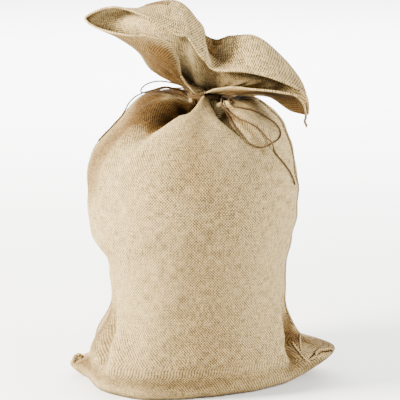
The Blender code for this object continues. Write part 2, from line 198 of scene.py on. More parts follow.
MOUTH = (
    Line(0, -92, 556, 22, -122, 588, 14, -168, 618, 8, -210, 641, 4),
    Line(16, -92, 548, 4, -113, 578, -8, -146, 602, -14, -190, 621, -14),
    Line(34, -76, 539, -22, -99, 565, -36, -116, 586, -43, -137, 607, -45),
    Line(50, -52, 530, -36, -72, 554, -51, -84, 577, -58, -92, 604, -60),
    Line(60, -38, 524, -41, -50, 545, -55, -56, 564, -62, -57, 592, -62),
    Line(67, -28, 519, -39, -38, 535, -50, -44, 549, -57, -43, 567, -58),
    Line(77, -15, 511, -34, -22, 515, -40, -29, 521, -44, -36, 533, -47),
    Line(85, -6, 507, -31, -9, 507, -34, -13, 507, -37, -18, 508, -40),
    Line(98, 2, 506, -30, 2, 506, -32, 3, 506, -33, 4, 507, -35),
    Line(108, 12, 506, -33, 14, 507, -37, 17, 508, -42, 19, 512, -48),
    Line(118, 23, 505, -37, 32, 507, -46, 40, 509, -58, 49, 515, -70),
    Line(138, 42, 503, -46, 58, 504, -62, 73, 505, -80, 85, 510, -92),
    Line(158, 74, 502, -44, 98, 503, -64, 120, 501, -82, 139, 503, -96),
    Line(169, 81, 502, -30, 111, 501, -48, 142, 492, -70, 165, 496, -90),
    Line(175, 81, 503, -20, 115, 499, -38, 149, 482, -62, 176, 482, -84),
    Line(181, 82, 505, -8, 118, 500, -20, 156, 474, -54, 180, 467, -74),
    Line(189, 82, 510, -6, 118, 505, -26, 162, 495, -48, 188, 473, -66),
    Line(197, 80, 520, -18, 126, 516, -40, 166, 530, -38, 186, 501, -78),
    Line(205, 74, 521, -26, 122, 524, -44, 151, 558, -22, 164, 516, -86),
    Line(213, 66, 521, -32, 108, 530, -46, 132, 580, -8, 140, 525, -88),
    Line(230, 48, 520, -32, 82, 536, -44, 92, 611, 10, 98, 538, -82),
    Line(246, 30, 519, -24, 46, 545, -34, 50, 611, 18, 51, 548, -66),
    Line(258, 15, 518, -14, 20, 545, -22, 22, 604, 10, 21, 549, -50),
    Line(268, 4, 520, -8, 4, 552, -18, 6, 612, 0, 6, 556, -46),
    Line(278, -6, 526, -4, -12, 572, -18, -8, 634, -2, -8, 576, -47),
    Line(288, -16, 534, 0, -24, 590, -20, -22, 654, 0, -22, 599, -46),
    Line(304, -34, 548, 8, -52, 606, -28, -50, 672, 4, -54, 610, -46),
    Line(320, -54, 556, 16, -88, 618, -20, -90, 667, 8, -98, 639, -36),
    Line(338, -74, 560, 24, -122, 624, -4, -139, 652, 14, -154, 660, -12),
)

# Tone: painted shade (+) for hollows, walls and facets in shade, painted light (-) on lit lips and
# ridges.
BODY_FOLDS = (
    Fold("left hollow", 56, 592, 47, 500, 24, -58, 0.3),
    Fold("left hollow core", 52, 600, 46, 550, 16, -26, 0.5),
    Fold("pocket depth", 42, 634, 42, 590, 15, 0, 1.0, 1.7),
    Fold("pocket valley", 41, 590, 44, 492, 8, 0, 0.4, 0.8),
    Fold("pocket wall", 346, 588, 30, 596, 30, 0, 1.0, 1.6),
    Fold("pocket middle", 14, 562, 38, 548, 28, 0, 1.0, 1.2),
    Fold("pocket foot", 26, 532, 44, 508, 14, 0, 1.0, 0.35),
    Fold("left crest", 74, 520, 48, 452, 16, 7, 0.5, -0.1),
    Fold("left lip", 68, 540, 54, 500, 10, 12, 0.6, -0.3),
    Fold("right hollow", 118, 604, 133, 462, 15, -42, 0.12),
    Fold("right hollow core", 116, 606, 128, 545, 14, -20, 0.5),
    Fold("right hollow shade", 134, 640, 130, 590, 14, 0, 0.8, -0.6),
    Fold("right crease", 131, 575, 140, 462, 5, -3, 0.6, 0.9),
    Fold("right upper wall", 172, 612, 148, 560, 24, 0, 0.6, 0.6),
    Fold("right upper wall deep", 150, 615, 140, 575, 14, 0, 0.6, 0.5),
    Fold("apron", 83, 604, 88, 470, 19, 9, 0.3),
    Fold("apron tone", 88, 600, 88, 420, 34, 0, 0.6, 0.4),
    Fold("front shade", 97, 60, 97, 420, 95, 0, 1.0, 0.34),
    Fold("left side facet", 18, 380, 20, 480, 24, -10, 1.0),
    Fold("left side shade", 8, 380, 14, 500, 38, 0, 1.0, 0.75),
    Fold("left side shade by the ridge", 26, 395, 28, 500, 26, 0, 0.9, 0.55),
    Fold("left side ridge", 33, 380, 31, 480, 16, 6, 1.0, -0.1),
    Fold("back hollow", 262, 600, 255, 440, 24, -30, 0.1),
    Fold("back right hollow", 218, 600, 205, 470, 20, -22, 0.1),
    Fold("left panel edge", 46, 74, 37, 168, 18, 9, 0.5, -0.1),
    Fold("left groove", 32, 84, 22, 168, 20, -46, 0.4),
    Fold("left bulge", 6, 66, 356, 112, 24, 8, 0.5),
    Fold("left bulge shade", 8, 134, 16, 90, 24, 0, 0.6, 0.9),
    Fold("left groove shade", 20, 128, 30, 64, 8, 0, 1.0, 0.15),
    Fold("left toe", 42, 0, 52, 40, 34, -5, 0.5),
    Fold("left ear shade", 6, 46, 350, 38, 11, 0, 0.6, 0.8),
    Fold("right panel edge", 150, 70, 154, 160, 16, 8, 0.6),
    Fold("right groove", 163, 88, 165, 160, 12, -38, 0.35),
    Fold("right gusset", 178, 84, 176, 150, 12, 17, 0.15),
    Fold("right gusset shade", 170, 94, 172, 126, 14, 0, 0.9, 0.95),
    Fold("right gusset wall shade", 164, 96, 158, 62, 14, 0, 0.9, 0.8),
    Fold("right valley", 156, 88, 161, 58, 11, -14, 0.5, 0.3),
    Fold("right ridge", 167, 84, 163, 56, 6, 7, 0.8, 0.2),
    Fold("right ridge by the ear", 174, 92, 168, 70, 5, 5, 0.8, 0.2),
    Fold("right ear top", 177, 80, 188, 66, 16, 0, 1.0, 0.8),
    Fold("back gusset", 206, 62, 200, 132, 16, -14, 0.3),
)

# Tone: painted shade (+) under the wings and hem and inside the mouth, painted light (-) on lit
# faces.
MOUTH_FOLDS = (
    Fold("wing underside", 36, 40, 26, 190, 60, 0, 0.8, 0.95),
    Fold("wing underside front", 62, 70, 58, 150, 20, 0, 0.8, 0.6),
    Fold("wing crease", 50, 60, 30, 120, 12, -6, 0.6, 0.1),
    Fold("right wing underside", 118, 20, 176, 196, 36, 0, 1.0, 1.0),
    Fold("front lip underside", 110, 135, 148, 160, 26, 0, 1.0, 0.8),
    Fold("right wing tip underside", 158, 150, 180, 200, 26, 0, 1.0, 0.3),
    Fold("inside between the lips", 270, 70, 192, 110, 34, 0, 0.45, 0.8),
    Fold("throat", 300, 20, 262, 40, 22, 0, 1.0, 0.2),
    Fold("wing tip inside", 7, 200, 6, 192, 8, 0, 1.0, 1.2),
    Fold("wing inside", 350, 176, 332, 104, 20, 0, 1.0, -0.45),
    Fold("strip under the back hem", 358, 186, 338, 188, 9, 0, 1.0, 1.2),
    Fold("under the back hem", 330, 150, 298, 112, 11, -5, 0.8, 0.9),
    Fold("tongue", 278, 52, 284, 100, 14, -6, 0.8, -1.3),
    Fold("hood root hollow", 258, 150, 250, 172, 15, -20, 0.6, 0.3),
    Fold("hood root shade", 264, 118, 256, 160, 18, 0, 0.9, 0.9),
    Fold("hood root strip", 272, 140, 268, 190, 9, 6, 0.8, -0.3),
    Fold("hood tip", 196, 190, 184, 215, 16, -4, 1.0, 0.3),
)

EARS = (
    Ear("left", 358, 35, 22, 10, 26, 10),
    Ear("right", 186, 80, 44, 20, 40, 18),
)

# Crest and flank tones are painted shade, darkest on the flanks beside each roll.
ROLLS = (
    Roll("ear_seam", 11, 5, 0.1, 2.0, (
        Stop(190, 30), Stop(200, 34), Stop(206, 41), Stop(213, 45), Stop(222, 45), Stop(230, 46),
        Stop(237, 44))),
    Roll("ear_fold_upper", 5, 3.5, 0.0, 0.9, (
        Stop(175, 76), Stop(176, 64), Stop(176, 53), Stop(179, 42))),
    Roll("ear_fold_lower", 6, 4, 0.0, 1.0, (
        Stop(160, 63), Stop(166, 54), Stop(173, 45), Stop(180, 36), Stop(187, 30), Stop(193, 27))),
    Roll("ear_curl", 9, 8, 0.3, 0.6, (
        Stop(-217, 31, -2), Stop(-226, 35, -3), Stop(-233, 32, -4), Stop(-236, 24, -6),
        Stop(-234, 15, -9))),
    Roll("hem_tail", 4.5, 4.5, 0.7, 1.0, (
        Stop(178, 472, -74), Stop(180, 464, -74), Stop(178, 457, -73), Stop(181, 449, -73),
        Stop(180, 445, -73))),
)

SEAMS: dict[str, tuple[Mark, ...]] = {
    "seam_right": (Mark(175, 112), Mark(174, 150), Mark(173, 200), Mark(172, 300), Mark(169, 370),
                   Mark(168, 410), Mark(170, 450), Mark(173, 500), Mark(176, 560)),
    "seam_left": (Mark(352, 60), Mark(350, 150), Mark(350, 300), Mark(350, 450), Mark(352, 560)),
}

TWINE_RUNS: dict[str, tuple[Stop, ...]] = {
    "twine_loop_left": (
        Stop(-3, 517, 38), Stop(-24, 520, 36), Stop(-48, 527, 32), Stop(-74, 532, 28),
        Stop(-92, 530, 26), Stop(-106, 524, 26), Stop(-114, 515, 30), Stop(-108, 509, 40),
        Stop(-88, 515, 52), Stop(-60, 519, 56), Stop(-30, 519, 50), Stop(-8, 518, 44)),
    "twine_end_left": (
        Stop(-5, 512, 36), Stop(-24, 512, 30), Stop(-46, 516, 20), Stop(-67, 522, 10),
        Stop(-81, 517, 6), Stop(-95, 513, 4), Stop(-115, 507, 2), Stop(-133, 492, 0),
        Stop(-139, 477, 0), Stop(-149, 462, 0), Stop(-164, 442, 0), Stop(-184, 421, 0)),
    "twine_loop_right": (
        Stop(12, 507, 38), Stop(31, 503, 24), Stop(44, 498, 0), Stop(46, 489, -22), Stop(51, 482),
        Stop(64, 480), Stop(84, 476), Stop(108, 465), Stop(124, 454), Stop(134, 442),
        Stop(136, 433), Stop(131, 425), Stop(121, 418), Stop(109, 412), Stop(96, 408),
        Stop(83, 414), Stop(71, 425), Stop(61, 439), Stop(53, 453), Stop(46, 465), Stop(39, 479),
        Stop(36, 490, -29), Stop(37, 503, 0), Stop(26, 510, 25), Stop(12, 515, 37)),
    "twine_end_right": (
        Stop(13, 511, 38), Stop(29, 507, 26), Stop(41, 501, 0), Stop(41, 490, -22), Stop(45, 476),
        Stop(54, 466), Stop(64, 459), Stop(84, 450), Stop(101, 439), Stop(115, 418),
        Stop(127, 397), Stop(146, 376), Stop(157, 358), Stop(161, 346)),
}


# Shader maths
# ------------


class Sock:
    """An output socket whose operators add Math nodes to its tree."""

    def __init__(self, shader: "Shader", output: bpy.types.NodeSocket) -> None:
        """Wraps one output socket of a shader's tree."""
        self.shader = shader
        self.output = output

    def _math(self, operation: str, *values: "float | Sock") -> "Sock":
        """One Math node on this socket and the other values."""
        return self.shader.node("ShaderNodeMath", {"operation": operation},
                                dict(enumerate(values)))

    def __add__(self, other: "float | Sock") -> "Sock":
        """This value plus another."""
        return self._math("ADD", self, other)

    __radd__ = __add__

    def __sub__(self, other: "float | Sock") -> "Sock":
        """This value less another."""
        return self._math("SUBTRACT", self, other)

    def __rsub__(self, other: "float | Sock") -> "Sock":
        """Another value less this one."""
        return self._math("SUBTRACT", other, self)

    def __mul__(self, other: "float | Sock") -> "Sock":
        """This value times another."""
        return self._math("MULTIPLY", self, other)

    __rmul__ = __mul__

    def sine(self) -> "Sock":
        """Sine of this value, in radians."""
        return self._math("SINE", self)

    def magnitude(self) -> "Sock":
        """This value without its sign."""
        return self._math("ABSOLUTE", self)

    def limited(self) -> "Sock":
        """This value held between 0 and 1."""
        return self.shader.node("ShaderNodeClamp", {}, {"Value": self})


class Shader:
    """A material's node tree with one Principled BSDF.

    A colour mix has its share and its two colours at the places of mix_inputs, because several
    of the node's sockets have the same names.
    """

    gloss = 0.08
    mix_inputs = (0, 6, 7)
    mix_output = 2

    def __init__(self, name: str, roughness: float) -> None:
        """Makes a dull material with one roughness all over."""
        self.material = bpy.data.materials.new(name)
        self.material.use_nodes = True
        self.tree = self.material.node_tree
        self.surface = self.tree.nodes["Principled BSDF"]
        self.surface.inputs["Roughness"].default_value = roughness
        self.surface.inputs["Specular IOR Level"].default_value = self.gloss

    def node(self, kind: str, settings: dict, values: dict, output: "int | str" = 0) -> Sock:
        """Adds a node.

        Args:
            kind: The node's type.
            settings: Attributes of the node, set first. "stops" holds a ramp's stops.
            values: A value or a link for each socket, by name or place.
            output: Which output the result wraps.

        Returns:
            The chosen output socket.
        """
        made = self.tree.nodes.new(kind)
        for name, value in settings.items():
            if name == "stops":
                self._set_stops(made.color_ramp, value)
            else:
                setattr(made, name, value)
        for place, value in values.items():
            if isinstance(value, Sock):
                self.tree.links.new(value.output, made.inputs[place])
            else:
                made.inputs[place].default_value = value
        return Sock(self, made.outputs[output])

    @staticmethod
    def _set_stops(ramp: bpy.types.ColorRamp, stops: Sequence[tuple[float, tuple]]) -> None:
        """Sets a colour ramp's stops from pairs of a place and a colour."""
        while len(ramp.elements) < len(stops):
            ramp.elements.new(1.0)
        for element, (place, colour) in zip(ramp.elements, stops):
            element.position = place
            element.color = colour

    def noise(self, vector: Sock, scale: float = 1.0, detail: float = 1.0) -> Sock:
        """Noise around 0, by half a unit either way, with more octaves for more detail."""
        return self.node("ShaderNodeTexNoise", {},
                         {"Vector": vector, "Scale": scale, "Detail": detail}) - 0.5

    def stretched(self, vector: Sock, scale: tuple[float, float, float],
                  place: tuple[float, float, float] = (0, 0, 0)) -> Sock:
        """A vector scaled by axis and moved."""
        return self.node("ShaderNodeMapping", {}, {"Vector": vector, "Scale": scale,
                                                   "Location": place})

    def mixed(self, share: "float | Sock", first: "tuple | Sock", second: "tuple | Sock",
              blend: str = "MIX") -> Sock:
        """Mixes two colours, the second by its share."""
        return self.node("ShaderNodeMix", {"data_type": "RGBA", "blend_type": blend},
                         dict(zip(self.mix_inputs, (share, first, second))), self.mix_output)

    def tinted(self, first: "tuple | Sock", second: "tuple | Sock") -> Sock:
        """Multiplies two colours."""
        return self.mixed(1.0, first, second, "MULTIPLY")

    def link(self, socket: str, value: Sock) -> None:
        """Links a value to the surface."""
        self.tree.links.new(value.output, self.surface.inputs[socket])

    def bump(self, height: Sock, distance: float) -> None:
        """Gives the surface a relief: height 1 stands up by the distance, in metres."""
        self.link("Normal", self.node("ShaderNodeBump", {}, {
            "Strength": 1.0, "Distance": distance, "Height": height}))


# Finishes
# --------


@dataclass(frozen=True)
class HessianFinish:
    """Undyed plain-weave jute cloth: threads over and under, slubs, dark gaps and flecks.

    Scales count noise cells in a metre, and places move a noise away from the others. Shares
    say how much each pattern moves the colour between dark and light.
    """

    name: str = "hessian"
    light: tuple[float, float, float] = (0.60, 0.445, 0.205)
    dark: tuple[float, float, float] = (0.09, 0.063, 0.03)
    # Painted shade, deeper painted shade and painted light, mixed in by the tone attribute.
    painted_shade_colour: tuple[float, float, float] = (0.23, 0.17, 0.105)
    painted_deep_shade_colour: tuple[float, float, float] = (0.02, 0.012, 0.006)
    painted_light_tint: tuple[float, float, float] = (1.75, 1.75, 1.85)
    fleck: tuple[float, float, float] = (0.075, 0.042, 0.015)
    roughness: float = 0.95
    pitch: float = 2.7 * MM
    yarn: float = 2.3 * MM
    relief: float = 0.3 * MM
    wobble_scale: float = 55
    wobble_pitches: float = 0.9
    warp_scale: float = 70
    weft_scale: float = 56
    slub_scale: float = 16
    mottle_scale: float = 16
    fibre_scale: float = 600
    fleck_scale: tuple[float, float, float] = (160, 90, 1)
    weft_place: tuple[float, float, float] = (7, 3, 0)
    slub_place: tuple[float, float, float] = (2, 9, 0)
    fleck_place: tuple[float, float, float] = (3, 1, 0)
    warp_share: float = 1.8
    weft_share: float = 1.6
    slub_share: float = 0.2
    mottle_share: float = 0.2
    fibre_share: float = 1.5
    over_share: float = 1.5
    base_share: float = -0.26
    gap_shade: float = 0.7
    gap_spread: float = 1.2
    fleck_rarity: float = 0.235
    fleck_edge: float = 16
    thread_height: float = 0.6
    over_height: float = 0.25
    slub_height: float = 0.8

    def weave(self, shader: Shader, cloth: Sock) -> tuple[Sock, Sock, Sock]:
        """The pattern of threads.

        It is the product of two sines with a half wave for each thread, so it stands up where
        a warp thread is on top and where a weft thread is on top, and sinks in the gaps.

        Args:
            shader: The material.
            cloth: Places on the flat cloth.

        Returns:
            Which thread is on top, the threads' roundness, and the gaps between them.
        """
        drift = shader.noise(cloth, self.wobble_scale) * (self.wobble_pitches * self.pitch)
        across, along = (((shader.node("ShaderNodeSeparateXYZ", {}, {"Vector": cloth}, output=way)
                           + drift) * (math.pi / self.pitch)).sine() for way in "XY")
        threads = across.magnitude() * 0.5 + along.magnitude() * 0.5
        gaps = (1 - across.magnitude()) * (1 - along.magnitude())
        return across * along * 0.5 + 0.5, threads, gaps

    def build(self) -> bpy.types.Material:
        """Makes the material.

        Streaks along each thread way stand for thick and thin yarn. The cloth's tone attribute is
        painted shade above 0, from plain to a painted shade colour and a deeper one, and painted
        light below 0, which makes it lighter.

        Returns:
            The material, which reads the cloth's own UV map in metres.
        """
        shader = Shader(self.name, self.roughness)
        cloth = shader.node("ShaderNodeUVMap", {"uv_map": "cloth"}, {})
        over, threads, gaps = self.weave(shader, cloth)
        warp = shader.noise(shader.stretched(cloth, (1 / self.yarn, self.warp_scale, 1)))
        weft = shader.noise(shader.stretched(cloth, (self.weft_scale, 1 / self.yarn, 1),
                                             self.weft_place))
        slub = shader.noise(shader.stretched(cloth, (1 / self.pitch, self.slub_scale, 1),
                                             self.slub_place))
        mottle = shader.noise(cloth, self.mottle_scale, 3)
        fibre = shader.noise(cloth, self.fibre_scale)
        tone = (warp * self.warp_share + weft * self.weft_share + slub * self.slub_share
                + mottle * self.mottle_share + fibre * self.fibre_share + over * self.over_share
                + self.base_share)
        body = shader.mixed(tone.limited(), (*self.dark, 1), (*self.light, 1))
        spots = shader.noise(shader.stretched(cloth, self.fleck_scale, self.fleck_place), detail=2)
        flecks = ((spots - self.fleck_rarity) * self.fleck_edge).limited()
        flecked = shader.mixed(flecks, body, (*self.fleck, 1))
        # The tone attribute: painted shade above 0, painted light below 0.
        painted_light_and_shade = shader.node("ShaderNodeAttribute", {"attribute_name": "tone"}, {}, output="Fac")
        painted_shade = shader.node("ShaderNodeValToRGB", {"stops": (
            (0.0, (1, 1, 1, 1)), (0.5, (*self.painted_shade_colour, 1)), (1.0, (*self.painted_deep_shade_colour, 1)))},
            {"Fac": painted_light_and_shade * 0.5})
        painted_light_colour = shader.tinted(flecked, (*self.painted_light_tint, 1))
        paler = shader.mixed((painted_light_and_shade * -1.0).limited(), flecked, painted_light_colour)
        shade = (gaps * self.gap_spread).limited() * self.gap_shade
        woven = shader.mixed(shade, paler, (*self.fleck, 1))
        shader.link("Base Color", shader.tinted(woven, painted_shade))
        height = (threads * self.thread_height + over * self.over_height
                  + (warp + weft) * self.slub_height)
        shader.bump(height, self.relief)
        return shader.material


@dataclass(frozen=True)
class TwineFinish:
    """Dark twisted jute twine."""

    name: str = "twine"
    light: tuple[float, float, float] = (0.11, 0.064, 0.028)
    dark: tuple[float, float, float] = (0.035, 0.02, 0.009)
    roughness: float = 0.9
    relief: float = 0.15 * MM
    fibre_scale: tuple[float, float, float] = (900, 260, 1)
    fibre_share: float = 1.1
    ply_share: float = 0.8

    def build(self) -> bpy.types.Material:
        """Makes the material: fibres along the twine and painted shade in the twist's grooves."""
        shader = Shader(self.name, self.roughness)
        cord = shader.node("ShaderNodeUVMap", {"uv_map": "cord"}, {})
        fibres = shader.noise(shader.stretched(cord, self.fibre_scale), detail=2)
        # Ply is high on the crests of the plies, so it paints shade into the grooves between them.
        ply = shader.node("ShaderNodeAttribute", {"attribute_name": "ply"}, {}, output="Fac")
        tone = fibres * self.fibre_share + ply * self.ply_share
        shader.link("Base Color", shader.mixed(tone.limited(), (*self.dark, 1), (*self.light, 1)))
        shader.bump(fibres, self.relief)
        return shader.material


@dataclass(frozen=True)
class FloorFinish:
    """Plain pale studio floor."""

    name: str = "floor"
    colour: tuple[float, float, float] = (0.82, 0.82, 0.82)
    roughness: float = 0.7

    def build(self) -> bpy.types.Material:
        """Makes the material."""
        shader = Shader(self.name, self.roughness)
        shader.surface.inputs["Base Color"].default_value = (*self.colour, 1)
        return shader.material


# Surfaces
# --------


def smooth_step(value: np.ndarray) -> np.ndarray:
    """Rises from 0 to 1 with flat ends: three squares less two cubes of the clipped value."""
    held = np.clip(value, 0, 1)
    return held * held * (3 - 2 * held)


def bell(distance: np.ndarray, width: "float | np.ndarray") -> np.ndarray:
    """A soft bump: e to the minus square of the distance over the width."""
    return np.exp(-(distance / width) ** 2)


def turn_from(turn: np.ndarray, middle: float) -> np.ndarray:
    """Signed angle from a middle, in radians, the short way round."""
    return np.angle(np.exp(1j * (turn - math.radians(middle))))


def seen_place(x: np.ndarray, up: np.ndarray, y: np.ndarray) -> np.ndarray:
    """Points given across, up as seen from VIEW_TILT above the front, and in depth."""
    z = (up - y * math.sin(VIEW_TILT)) / math.cos(VIEW_TILT)
    return np.stack((x, y, z), axis=-1) * MM


def hermite(t: np.ndarray, start: np.ndarray, leaving: np.ndarray, end: np.ndarray,
            arriving: np.ndarray) -> np.ndarray:
    """Cubic blend of two end values and of their slopes over the stretch between them."""
    return ((2 * t ** 3 - 3 * t ** 2 + 1) * start + (t ** 3 - 2 * t ** 2 + t) * leaving
            + (3 * t ** 2 - 2 * t ** 3) * end + (t ** 3 - t ** 2) * arriving)


def round_spline(knots: Sequence[float], values: Sequence[float], turn: np.ndarray) -> np.ndarray:
    """Periodic cubic curve through one value for each knot.

    Each stretch is the Hermite blend of its two end values and of their slopes, which are the
    slopes of the broken line through the neighbours.

    Args:
        knots: Turns in degrees, rising.
        values: One value for each knot.
        turn: Where to read the curve, in radians.

    Returns:
        The value at each turn.
    """
    count = len(knots)
    order = np.arange(-2, count + 2)
    angle = np.radians(np.asarray(knots, float))[order % count] + order // count * 2 * math.pi
    value = np.asarray(values, float)[order % count]
    slope = np.gradient(value, angle)
    turn = np.mod(turn - angle[2], 2 * math.pi) + angle[2]
    place = np.clip(np.searchsorted(angle, turn, side="right") - 1, 0, len(angle) - 2)
    span = angle[place + 1] - angle[place]
    return hermite((turn - angle[place]) / span, value[place], span * slope[place],
                   value[place + 1], span * slope[place + 1])


def rising_spline(rings: np.ndarray, steps: Sequence[int]) -> np.ndarray:
    """Centripetal cubic curves up the cloth through every control ring.

    Args:
        rings: Control rings, one array of points round the cloth each.
        steps: Number of faces between each ring and the next.

    Returns:
        Points by row and column.
    """
    chord = np.sqrt(np.maximum(np.linalg.norm(np.diff(rings, axis=0), axis=-1, keepdims=True),
                               TINY))
    slope = np.diff(rings, axis=0) / chord
    tangent = np.empty_like(rings)
    tangent[1:-1] = (slope[:-1] * chord[1:] + slope[1:] * chord[:-1]) / (chord[1:] + chord[:-1])
    tangent[0] = slope[0]
    tangent[-1] = slope[-1]
    rows = [rings[:1]]
    for k, count in enumerate(steps):
        t = (np.arange(1, count + 1) / count)[:, None, None]
        rows.append(hermite(t, rings[k], chord[k] * tangent[k], rings[k + 1],
                            chord[k] * tangent[k + 1]))
    return np.concatenate(rows)


def unit(vectors: np.ndarray) -> np.ndarray:
    """Vectors over their own lengths."""
    return vectors / np.maximum(np.linalg.norm(vectors, axis=-1, keepdims=True), TINY)


def lengths_along(line: np.ndarray) -> np.ndarray:
    """Length from the first point of a line to each of its points."""
    return np.append(0.0, np.cumsum(np.linalg.norm(np.diff(line, axis=0), axis=1)))


def grid_normals(points: np.ndarray) -> np.ndarray:
    """Outward unit directions of a grid whose columns close round: across times up."""
    across = np.roll(points, -1, axis=1) - np.roll(points, 1, axis=1)
    return unit(np.cross(across, np.gradient(points, axis=0)))


def evenly(line: np.ndarray, count: int, closed: bool = False) -> np.ndarray:
    """Points at even lengths along a line, without its last one where the line closes."""
    way = lengths_along(line)
    marks = np.linspace(0, way[-1], count, endpoint=not closed)
    return np.stack([np.interp(marks, way, column) for column in line.T], axis=-1)


def smooth_route(stops: np.ndarray, step: float) -> np.ndarray:
    """Points a step apart on a Catmull-Rom curve through the stops."""
    padded = np.vstack((2 * stops[0] - stops[1], stops, 2 * stops[-1] - stops[-2]))
    t = np.linspace(0, 1, ROUTE_PARTS, endpoint=False)[None, :, None]
    before, start, end, after = (padded[k:len(padded) - 3 + k, None] for k in range(4))
    fine = 0.5 * (2 * start + (end - before) * t
                  + (2 * before - 5 * start + 4 * end - after) * t ** 2
                  + (3 * start - before - 3 * end + after) * t ** 3)
    fine = np.vstack((fine.reshape(-1, stops.shape[1]), stops[-1:]))
    return evenly(fine, round(lengths_along(fine)[-1] / step) + 1)


def round_angles(around: int) -> np.ndarray:
    """Even angles round a section."""
    return np.arange(around) * 2 * math.pi / around


def square_to(ahead: np.ndarray, reference: np.ndarray) -> tuple[np.ndarray, np.ndarray]:
    """Two unit directions square to a line and to each other, the first to a reference too."""
    side = unit(np.cross(ahead, reference))
    return side, np.cross(ahead, side)


def rings_round(line: np.ndarray, ways: tuple[np.ndarray, np.ndarray], angle: np.ndarray,
                wide: "float | np.ndarray", high: "float | np.ndarray") -> np.ndarray:
    """An oval of points round each point of a line, by its two square ways and half sizes."""
    side, over = (way[..., None, :] for way in ways)
    return (line[..., None, :] + (wide * np.cos(angle))[..., None] * side
            + (high * np.sin(angle))[..., None] * over)


def capped_tube(points: np.ndarray, line: np.ndarray) -> tuple[np.ndarray, list]:
    """Vertices and faces of a tube that closes on the first and last point of its line."""
    count, around = points.shape[:2]
    first = np.arange(around)
    last = (count - 1) * around + first
    tip = count * around
    caps = np.concatenate((
        np.stack((np.full(around, tip), np.roll(first, -1), first), axis=-1),
        np.stack((np.full(around, tip + 1), last, np.roll(last, -1)), axis=-1)))
    vertices = np.concatenate((points.reshape(-1, 3), line[:1], line[-1:]))
    return vertices, grid_faces(count, around).tolist() + caps.tolist()


def grid_faces(rows: int, columns: int) -> np.ndarray:
    """Four point numbers for each quad of a grid whose rows close round."""
    low = np.arange((rows - 1) * columns).reshape(-1, columns)
    after = np.roll(low, -1, axis=1)
    return np.stack((low, after, after + columns, low + columns), axis=-1).reshape(-1, 4)


def new_piece(name: str, points: np.ndarray, faces: Sequence,
              finish: bpy.types.Material) -> bpy.types.Object:
    """Makes a smooth shaded mesh object at the origin.

    Args:
        name: The piece's name.
        points: One row for each vertex.
        faces: Vertex numbers of each face.
        finish: Its material.

    Returns:
        The object, linked to the scene.
    """
    mesh = bpy.data.meshes.new(name)
    mesh.from_pydata(points.reshape(-1, 3), [], faces)
    mesh.materials.append(finish)
    mesh.shade_smooth()
    thing = bpy.data.objects.new(name, mesh)
    bpy.context.scene.collection.objects.link(thing)
    return thing


def give_values(thing: bpy.types.Object, name: str, values: np.ndarray) -> None:
    """Stores one value for each vertex, under the name by which a material reads it."""
    layer = thing.data.attributes.new(name, "FLOAT", "POINT")
    layer.data.foreach_set("value", values.astype(np.float32))


def give_map(thing: bpy.types.Object, name: str, places: np.ndarray) -> None:
    """Stores a place on the flat material, in metres, for each corner of each face."""
    layer = thing.data.uv_layers.new(name=name)
    layer.data.foreach_set("uv", places.astype(np.float32).ravel())


def map_tube(thing: bpy.types.Object, name: str, about: np.ndarray, way: np.ndarray) -> None:
    """Maps a capped tube by the length round it of each point, and along it of each ring."""
    corner = np.empty(len(thing.data.loops), np.int32)
    thing.data.loops.foreach_get("vertex_index", corner)
    across = np.append(about, (0, 0))
    along = np.append(np.repeat(way, about.shape[1]), (0, way[-1]))
    give_map(thing, name, np.stack((across[corner], along[corner]), axis=-1))


# The sack
# --------


